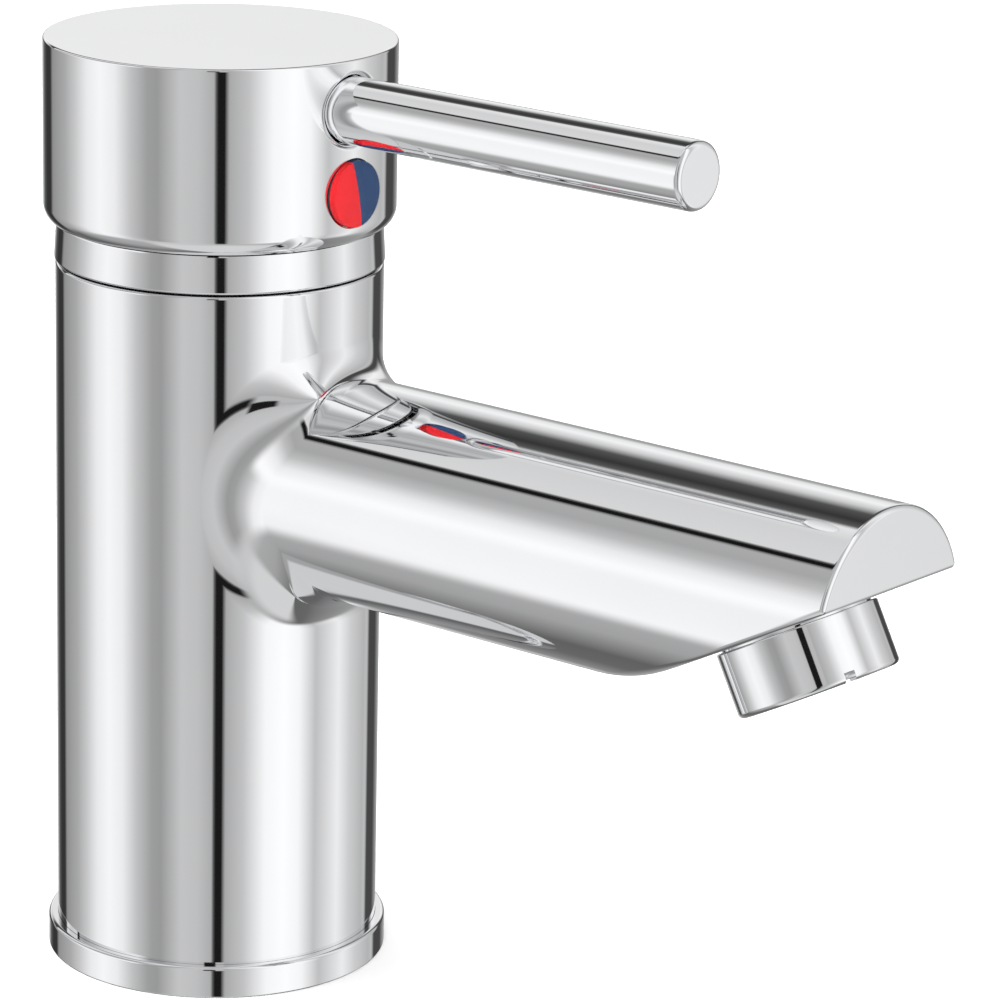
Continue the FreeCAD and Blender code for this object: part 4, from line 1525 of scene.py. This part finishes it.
@dataclass
class IndexButton:
    """The index button: its seat, the hot and cold halves, and the clear dome over them."""

    finishes: Finishes
    seat_depth: float = 2.9
    stem_radius: float = 2.4
    halves_rim: float = 0.08
    lens_thickness: float = 0.12
    edge: float = 0.35
    gap: float = 0.02
    lean: float = 12.0
    parts: int = 48
    base: float = field(init=False)
    radius: float = field(init=False)
    height: float = field(init=False)
    rim: float = field(init=False)
    dome: float = field(init=False)
    centre: float = field(init=False)

    def __post_init__(self) -> None:
        """Read the lens and the halves from the frame, and fit the dome to them."""
        low, high = node_box("index_lens")
        self.base = float(node_box("index_hot")[0][0])
        self.radius = float(high[1])
        self.height = float(low[2] + high[2]) / 2
        self.rim = float(low[0]) + self.edge
        rise = float(high[0]) - self.rim
        self.dome = (self.radius * self.radius + rise * rise) / (2 * rise)
        self.centre = float(high[0]) - self.dome

    def crown(self, radius: float, dome: float) -> Strip:
        """The domed top's outline, from its rim to its middle."""
        return arc((0.0, self.centre), dome, math.acos(radius / dome), math.pi / 2, 16)

    def seat(self) -> None:
        """Make the dark seat with its stem."""
        start = float(node_box("index_plug")[0][0])
        floor = float(node_box("handle_cap")[1][1]) - self.seat_depth
        skin = Skin()
        skin.turned(outline([
            (0.0, start, 0.0),
            (self.stem_radius, start, 0.2),
            (self.stem_radius, floor, 0.0),
            (self.radius, floor, 0.0),
            (self.radius, self.base, 0.0),
            (0.0, self.base, 0.0),
        ]), along_spout(self.height))
        piece = skin.build("index_seat", self.finishes.button_plastic)
        settle(piece, Body.HANDLE, Slot.BUTTON, "index_plug")

    def half(
        self, name: str, material: bpy.types.Material, slot: Slot, node: str, first: float
    ) -> None:
        """Make one coloured half.

        Args:
            name: the piece's name.
            material: its finish.
            slot: its material slot, which is not used.
            node: the CAD node it stands for.
            first: where it starts about the button's axis, from +Y towards +Z, in degrees.
        """
        radius = self.radius - self.halves_rim
        dome = self.dome - self.lens_thickness
        top = self.centre + math.sqrt(dome * dome - radius * radius)
        base = self.base + self.gap
        angle = np.radians(first + np.linspace(0.0, 180.0, self.parts + 1))
        ray = np.stack([np.zeros_like(angle), np.cos(angle), np.sin(angle)], axis=-1)
        front = np.array([1.0, 0.0, 0.0])
        strips = [
            straight((0.0, base), (radius, base)),
            straight((radius, base), (radius, top)),
            self.crown(radius, dome),
        ]
        skin = Skin()
        middle = np.array([0.0, 0.0, self.height])
        side = -ray[self.parts // 2]
        for points, normals in strips:
            shape = middle + points[:, None, 1:2] * front + points[:, None, 0:1] * ray
            skin.patch(shape, normals[:, None, 1:2] * front + normals[:, None, 0:1] * ray)
            ends = shape[:, [0, -1]]
            if points[0, 0] > 0.0:
                skin.patch(ends, np.broadcast_to(side, ends.shape).copy())
        piece = skin.build(name, material)
        settle(piece, Body.HANDLE, slot, node)

    def lens(self) -> None:
        """Make the clear dome."""
        start = self.base + self.gap / 2
        skin = Skin()
        skin.turned([
            straight((0.0, start), (self.radius, start)),
            straight((self.radius, start), (self.radius, self.rim)),
            self.crown(self.radius, self.dome),
        ], along_spout(self.height))
        piece = skin.build("index_dome", self.finishes.lens)
        settle(piece, Body.HANDLE, Slot.CLEAR, "index_lens")

    def build(self) -> None:
        """Make the button's pieces and tie them to the frame."""
        self.seat()
        self.half("hot_half", self.finishes.red, Slot.RED, "index_hot", 90.0 + self.lean)
        self.half("cold_half", self.finishes.blue, Slot.BLUE, "index_cold", self.lean - 90.0)
        self.lens()


@dataclass
class Aerator:
    """The outlet shell with two key notches, its honeycomb and its thread."""

    finishes: Finishes
    radius: float = 11.75
    thread_radius: float = 10.9
    thread_length: float = 7.0
    bore: float = 10.05
    lip_bore: float = 9.15
    lip_height: float = 1.4
    shadow_gap: float = 0.3
    start_rounding: float = 0.3
    end_rounding: float = 0.8
    mouth_rounding: float = 0.2
    notch_width: float = 1.6
    notch_angle: float = 28.0
    notch_columns: int = 6
    half_columns: int = 122
    grid_height: float = 1.5
    cell: float = 2.0
    web: float = 0.4
    rows: int = 11
    clearance: float = 0.06

    def columns(self, radii: Array) -> Array:
        """Angles of the grid's columns, where the notches keep their width at every radius.

        Args:
            radii: radius of each row.

        Returns:
            Angles, rows by columns, all the way round.
        """
        notch = np.arcsin(self.notch_width / 2 / radii)[:, None]
        across = np.linspace(-1.0, 1.0, self.notch_columns + 1)[:-1]
        along = np.linspace(0.0, 1.0, self.half_columns + 1)[:-1]
        half = np.concatenate([notch * across, notch + (math.pi - 2 * notch) * along], axis=1)
        angles = np.concatenate([half, half + math.pi, half[:, :1] + 2 * math.pi], axis=1)
        return angles + math.radians(self.notch_angle)

    def ring(self, skin: Skin, place: Place, strips: Sequence[Strip], notched: bool) -> None:
        """Add surfaces of revolution, with or without the notches.

        Args:
            skin: the mesh to add to.
            place: the aerator's frame.
            strips: outline strips.
            notched: whether the notches are left open.
        """
        half = self.notch_columns + self.half_columns
        column = np.arange(2 * half) % half
        for points, normals in strips:
            angle = self.columns(points[:, 0])
            ray = np.stack([np.cos(angle), np.sin(angle), np.zeros_like(angle)], axis=-1)
            up = np.array([0.0, 0.0, 1.0])
            local = points[:, None, 0:1] * ray + points[:, None, 1:2] * up
            outward = normals[:, None, 0:1] * ray + normals[:, None, 1:2] * up
            keep = np.tile(column >= self.notch_columns, (len(points) - 1, 1)) if notched else None
            skin.patch(place.put(local), place.turn(outward), keep)

    def notch(self, skin: Skin, place: Place, section: Array, side: int, turn: float) -> None:
        """Add one side wall of a notch.

        Args:
            skin: the mesh to add to.
            place: the aerator's frame.
            section: outline of the wall, as radius and height.
            side: which side of the notch, -1 or 1.
            turn: angle of the notch's middle.
        """
        angle = turn + side * np.arcsin(self.notch_width / 2 / section[:, 0])
        local = np.stack(
            [section[:, 0] * np.cos(angle), section[:, 0] * np.sin(angle), section[:, 1]], axis=-1
        )
        facing = -side * np.array([-math.sin(turn), math.cos(turn), 0.0])
        skin.flat([place.put(local)], place.turn(facing))

    def shell(self) -> bpy.types.Object:
        """The chromed shell as a new object."""
        end = AERATOR_LENGTH
        floor = end - self.lip_height
        outer, rolled, first = self.radius, self.end_rounding, self.start_rounding
        mouth, small = self.lip_bore, self.mouth_rounding
        gap = self.shadow_gap
        place = outlet_place()
        skin = Skin()
        whole = [
            straight((self.bore, -self.thread_length), (self.thread_radius, -self.thread_length)),
            straight((self.thread_radius, -self.thread_length), (self.thread_radius, gap)),
            straight((self.thread_radius, gap), (outer - first, gap)),
            arc((outer - first, gap + first), first, -math.pi / 2, 0.0, 6),
            straight((outer, gap + first), (outer, floor)),
            straight((self.bore, floor), (self.bore, -self.thread_length)),
        ]
        lip = [
            straight((outer, floor), (outer, end - rolled)),
            arc((outer - rolled, end - rolled), rolled, 0.0, math.pi / 2, 12),
            straight((outer - rolled, end), (mouth + small, end)),
            arc((mouth + small, end - small), small, math.pi / 2, math.pi, 6),
            straight((mouth, end - small), (mouth, floor)),
            straight((mouth, floor), (self.bore, floor)),
        ]
        self.ring(skin, place, whole, False)
        self.ring(skin, place, lip, True)
        section = np.concatenate([points[:-1] for points, _ in lip] + [lip[-1][0][-1:]])
        base = straight((self.bore, floor), (outer, floor))[0]
        for half in (0.0, math.pi):
            turn = math.radians(self.notch_angle) + half
            for side in (-1, 1):
                self.notch(skin, place, section, side, turn)
            angle = turn + np.linspace(-1.0, 1.0, self.notch_columns + 1) * np.arcsin(
                self.notch_width / 2 / base[:, 0]
            )[:, None]
            ray = np.stack([np.cos(angle), np.sin(angle), np.zeros_like(angle)], axis=-1)
            local = base[:, None, 0:1] * ray + base[:, None, 1:2] * np.array([0.0, 0.0, 1.0])
            skin.patch(place.put(local), np.tile(place.z, (*angle.shape, 1)))
        return skin.build("aerator_shell", self.finishes.chrome)

    def build(self) -> None:
        """Make the shell, the honeycomb and its rim, and tie them to the frame."""
        settle(self.shell(), Body.TAP, Slot.CHROME, "aerator_housing")
        floor = AERATOR_LENGTH - self.lip_height
        outlet = outlet_place()
        middle = Place(
            outlet.origin + outlet.z * (floor - self.grid_height / 2), outlet.x, outlet.y, outlet.z
        )
        rim = Skin()
        rim.turned(outline([
            (self.lip_bore - 2 * self.mouth_rounding, floor - self.grid_height, 0.0),
            (self.bore - self.clearance, floor - self.grid_height, 0.0),
            (self.bore - self.clearance, floor - self.clearance, 0.0),
            (self.lip_bore - 2 * self.mouth_rounding, floor - self.clearance, 0.0),
        ]), outlet)
        rim_piece = rim.build("stream_rim", self.finishes.jet_plastic)
        settle(rim_piece, Body.TAP, Slot.MOULDED)
        corner = (self.cell + self.web) / math.sqrt(3)
        cells = honeycomb_tree(self.finishes.jet_plastic).make("stream_cells", {
            "Cell": self.cell * MM,
            "Web": self.web * MM,
            "Height": (self.grid_height - 2 * self.clearance) * MM,
            "Reach": (self.bore - self.clearance - corner) * MM,
            "Rows": float(self.rows),
        }, middle)
        settle(cells, Body.TAP, Slot.MOULDED, "aerator_grid")


@dataclass
class InletThreads:
    """The thread ridges in the holes of the underside."""

    finishes: Finishes
    pitch: float = 1.0
    depth: float = 0.3

    def build(self) -> None:
        """Make a ridge in each threaded hole and tie it to the frame."""
        tree = thread_tree(self.finishes.brass)
        floor = CastBody(self.finishes).bridge_bottom
        for hole in threaded_mounts():
            place = upright(*hole.centre)
            place = Place(place.origin + (floor + self.pitch) * place.z, place.x, place.y, place.z)
            piece = tree.make(hole.name + "_thread", {
                "Radius": hole.radius * MM,
                "Pitch": self.pitch * MM,
                "Turns": (hole.length - 2 * self.pitch) / self.pitch,
                "Depth": self.depth * MM,
            }, place)
            settle(piece, Body.TAP, Slot.BRASS)


@dataclass
class CarriedPieces:
    """The CAD nodes that keep their own shape: the cartridge, seals, fasteners and button."""

    finishes: Finishes

    def by_slot(self) -> dict[str, bpy.types.Material]:
        """The finish of each material slot."""
        return {
            "chrome_plate": self.finishes.chrome,
            "raw_brass": self.finishes.brass,
            "stainless_steel": self.finishes.steel,
            "seal_rubber": self.finishes.rubber,
            "cartridge_plastic": self.finishes.dark_plastic,
            "carrier_plastic": self.finishes.light_plastic,
            "disc_ceramic": self.finishes.ceramic,
            "index_plastic": self.finishes.button_plastic,
            "index_red": self.finishes.red,
            "index_blue": self.finishes.blue,
            "index_clear": self.finishes.lens,
            "aerator_plastic": self.finishes.jet_plastic,
        }

    def dress(self) -> None:
        """Give every CAD node its finish."""
        finishes = self.by_slot()
        for part in frame["record"]["subparts"]:
            node = frame["nodes"][part["node"]]
            for slot in node.material_slots:
                slot.material = finishes[part["material_slot"]]
            log.info("%s: %s", part["node"], part["material_slot"])


# ---------------------------------------------------------------- studio
def linear(display: float) -> float:
    """The light level that shows as a display level."""
    if display <= 0.04045:
        return display / 12.92
    return ((display + 0.055) / 1.055) ** 2.4


def levels(
    marks: Sequence[tuple[float, float]], low: float, high: float
) -> list[tuple[float, float]]:
    """The stops of a ramp.

    Args:
        marks: degrees and display levels.
        low: degrees where the ramp starts.
        high: degrees where it ends.

    Returns:
        Places along the ramp and light levels.
    """
    return [((degrees - low) / (high - low), linear(shown)) for degrees, shown in marks]


@dataclass(frozen=True)
class Tent:
    """The soft light tent, with its dark gaps and flags, as a world shader.

    Bearings are in degrees from the camera's own bearing, and tilts are in degrees about the
    spout's direction, from level on the hot side, over the top, to level on the cold side.
    Levels up to level_high go by bearing, and so do directions ahead of the spout. A dark flag
    hangs beside the camera, the gap over the camera is filled, and the floor is lifted.
    """

    camera_bearing: float
    plate: float = 0.93
    backdrop: float = 1.0
    bearings: tuple[tuple[float, float], ...] = (
        (-180, 0.80), (-168, 0.72), (-160, 0.35), (-152, 0.20), (-143, 0.20), (-139, 0.56),
        (-120, 0.66), (-108, 0.78), (-96, 0.92), (-84, 0.97), (-72, 0.93), (-60, 0.76),
        (-48, 0.62), (-41, 0.60), (-26, 0.77), (-14, 0.75), (-4, 0.68), (-2.5, 0.10),
        (3.5, 0.10), (5, 0.66), (18, 0.76), (34, 0.97), (48, 1.0), (60, 0.97), (74, 0.75),
        (96, 0.93), (110, 0.80), (128, 0.70), (134, 0.74), (138, 0.27), (152, 0.27),
        (166, 0.62),
    )
    tilts: tuple[tuple[float, float], ...] = (
        (-90, 0.38), (-76, 0.52), (-62, 0.63), (-46, 0.66), (-34, 0.78), (-20, 0.94),
        (-6, 1.0), (12, 0.99), (24, 0.92), (36, 0.74), (46, 0.65), (57, 0.67), (58.5, 0.08),
        (63, 0.08), (64.5, 0.84), (90, 0.82), (106, 0.90), (110, 0.34), (119, 0.20),
        (133, 0.32), (145, 0.80), (158, 0.95), (170, 0.88), (184, 0.70), (200, 0.68),
        (226, 0.55), (250, 0.40), (270, 0.38),
    )
    level_low: tuple[float, float] = (-0.62, -0.46)
    level_high: tuple[float, float] = (-0.02, 0.16)
    ahead: tuple[float, float] = (-0.3, -0.1)
    gap: tuple[float, float] = (-4.0, 5.5)
    gap_level: float = 0.72
    flag: tuple[float, float] = (-9.0, -0.8)
    flag_foot: tuple[float, float] = (0.02, 0.1)
    flag_top: tuple[float, float] = (0.46, 0.6)
    flag_level: float = 0.10
    flag_fade: float = 1.2
    gap_fade: float = 1.5
    lift: tuple[float, float] = (-54.0, 54.0)
    lift_fade: float = 18.0
    lift_foot: tuple[float, float] = (-0.75, -0.5)
    lift_level: float = 0.82

    def build(self) -> None:
        """Make the world."""
        world = bpy.data.worlds.new("light_tent")
        bpy.context.scene.world = world
        world.use_nodes = True
        shader = Shader(world.node_tree)
        way = shader.node("ShaderNodeTexCoord", {}, {}).outputs["Generated"]
        parts = shader.node("ShaderNodeSeparateXYZ", {}, {0: way})
        x, y, z = (Signal(shader, parts.outputs[k]) for k in range(3))
        bearing = x.angle(0.0 - y) - self.camera_bearing / 360.0
        around = (bearing + 1.5).fraction()
        tilt = (z.angle(0.0 - y) + 1.25).fraction()
        settings = {"stops": levels(self.bearings, -180.0, 180.0)}
        level = shader.node("ShaderNodeValToRGB", settings, {"Fac": around})
        settings = {"stops": levels(self.tilts, -90.0, 270.0)}
        over = shader.node("ShaderNodeValToRGB", settings, {"Fac": tilt})
        below = 1 - z.step(*self.level_low)
        high = z.step(*self.level_high)
        above = high * (1 - x.step(*self.ahead))
        both = shader.node("ShaderNodeMix", {"data_type": "RGBA"}, {
            "Factor": below + above,
            "A": level.outputs["Color"],
            "B": over.outputs["Color"],
        })
        flag = self.across(around, self.flag, self.flag_fade)
        flag = flag * z.step(*self.flag_foot) * (1 - z.step(*self.flag_top))
        lift = self.across(around, self.lift, self.lift_fade) * (1 - z.step(*self.lift_foot))
        lifted = self.shaded(shader, both.outputs["Result"], lift, self.lift_level)
        gap = self.across(around, self.gap, self.gap_fade) * high
        filled = self.shaded(shader, lifted, gap, self.gap_level)
        flagged = self.shaded(shader, filled, flag, self.flag_level)
        tent = shader.node("ShaderNodeBackground", {}, {
            "Color": flagged,
            "Strength": 1.0 / self.plate,
        })
        shade = linear(self.backdrop)
        plain = shader.node("ShaderNodeBackground", {}, {"Color": (shade, shade, shade, 1.0)})
        seen = shader.node("ShaderNodeLightPath", {}, {}).outputs["Is Camera Ray"]
        mixed = shader.node("ShaderNodeMixShader", {}, {
            0: seen,
            1: tent.outputs[0],
            2: plain.outputs[0],
        })
        shader.node("ShaderNodeOutputWorld", {}, {"Surface": mixed.outputs[0]})


    @staticmethod
    def across(around: Signal, bearings: tuple[float, float], fade: float) -> Signal:
        """A mask between two bearings.

        Args:
            around: the bearing as a share of a turn, half at the camera.
            bearings: the mask's edges in degrees.
            fade: width of each edge in degrees.

        Returns:
            One between the edges and zero outside them.
        """
        low, high = (0.5 + bearing / 360.0 for bearing in bearings)
        half = fade / 720.0
        return around.step(low - half, low + half) - around.step(high - half, high + half)

    @staticmethod
    def shaded(shader: Shader, colour: Any, mask: Signal, level: float) -> Any:
        """Mix a grey of one display level into a colour.

        Args:
            shader: the world's nodes.
            colour: the colour's link.
            mask: how much of the grey shows.
            level: the grey's display level.

        Returns:
            The mixed colour's link.
        """
        shade = linear(level)
        mixed = shader.node("ShaderNodeMix", {"data_type": "RGBA"}, {
            "Factor": mask,
            "A": colour,
            "B": (shade, shade, shade, 1.0),
        })
        return mixed.outputs["Result"]


@dataclass(frozen=True)
class CameraStand:
    """Where the camera stands and how it looks, in metres and degrees."""

    bearing: float = 42.654
    distance: float = 0.71072
    height: float = 0.27674
    yaw: float = 3.4304
    pitch: float = 16.1432
    roll: float = 1.2226
    lens: float = 175.8
    sensor: float = 36.0

    def build(self) -> None:
        """Make the camera and choose it."""
        data = bpy.data.cameras.new("camera")
        data.sensor_width = self.sensor
        data.lens = self.lens
        data.clip_start = 0.01
        data.clip_end = 100.0
        camera = bpy.data.objects.new("camera", data)
        bpy.context.scene.collection.objects.link(camera)
        bearing = math.radians(self.bearing)
        heading = bearing - math.radians(self.yaw)
        pitch = math.radians(self.pitch)
        ahead = Vector((
            -math.sin(heading) * math.cos(pitch),
            math.cos(heading) * math.cos(pitch),
            -math.sin(pitch),
        ))
        right = ahead.cross(Vector((0.0, 0.0, 1.0))).normalized()
        up = right.cross(ahead)
        roll = Matrix.Rotation(-math.radians(self.roll), 3, ahead)
        axes = Matrix((roll @ right, roll @ up, -ahead)).transposed()
        place = Vector((
            math.sin(bearing) * self.distance, -math.cos(bearing) * self.distance, self.height
        ))
        camera.matrix_world = Matrix.Translation(place) @ axes.to_4x4()
        bpy.context.scene.camera = camera


@dataclass(frozen=True)
class SoftBox:
    """A soft area light that polished pieces don't mirror."""

    name: str
    place: Corner
    size: float
    power: float

    def build(self) -> None:
        """Make the light, aimed at the middle of the mixer."""
        data = bpy.data.lights.new(self.name, "AREA")
        data.shape = "DISK"
        data.size = self.size
        data.energy = self.power
        light = bpy.data.objects.new(self.name, data)
        bpy.context.scene.collection.objects.link(light)
        middle = Vector(cad_bounds[0]).lerp(Vector(cad_bounds[1]), 0.5)
        place = Vector(self.place)
        turn = (place - middle).to_track_quat("Z", "Y").to_matrix().to_4x4()
        light.matrix_world = Matrix.Translation(place) @ turn
        light.visible_glossy = False


@dataclass
class Studio:
    """The pale floor, the light tent, the soft boxes and the camera."""

    finishes: Finishes
    floor_half: float = 12.0
    stand: CameraStand = field(default_factory=CameraStand)
    boxes: tuple[SoftBox, ...] = (
        SoftBox("top_box", (-0.2, -0.2, 2.2), 2.4, 80.0),
        SoftBox("front_box", (1.6, -1.8, 1.2), 1.6, 60.0),
    )

    def floor(self) -> None:
        """Make the floor, which polished pieces don't mirror."""
        half = self.floor_half
        corners = [(-half, -half, 0.0), (half, -half, 0.0), (half, half, 0.0), (-half, half, 0.0)]
        mesh = bpy.data.meshes.new("floor")
        mesh.from_pydata(corners, [], [(0, 1, 2, 3)])
        mesh.materials.append(self.finishes.floor)
        floor = bpy.data.objects.new("floor", mesh)
        bpy.context.scene.collection.objects.link(floor)
        floor.visible_glossy = False

    def build(self) -> None:
        """Make the whole studio."""
        bpy.context.scene.view_settings.view_transform = "Standard"
        self.floor()
        Tent(self.stand.bearing).build()
        for box in self.boxes:
            box.build()
        self.stand.build()


def main() -> None:
    """Build every sub-assembly and the studio."""
    logging.basicConfig(level=logging.INFO, format="%(name)s %(message)s")
    finishes = Finishes()
    CarriedPieces(finishes).dress()
    CastBody(finishes).build()
    BaseRing(finishes).build()
    Collar(finishes).build()
    HandleCap(finishes).build()
    Lever(finishes).build()
    IndexButton(finishes).build()
    Aerator(finishes).build()
    InletThreads(finishes).build()
    Studio(finishes).build()
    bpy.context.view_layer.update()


if __name__ == "__main__":
    main()
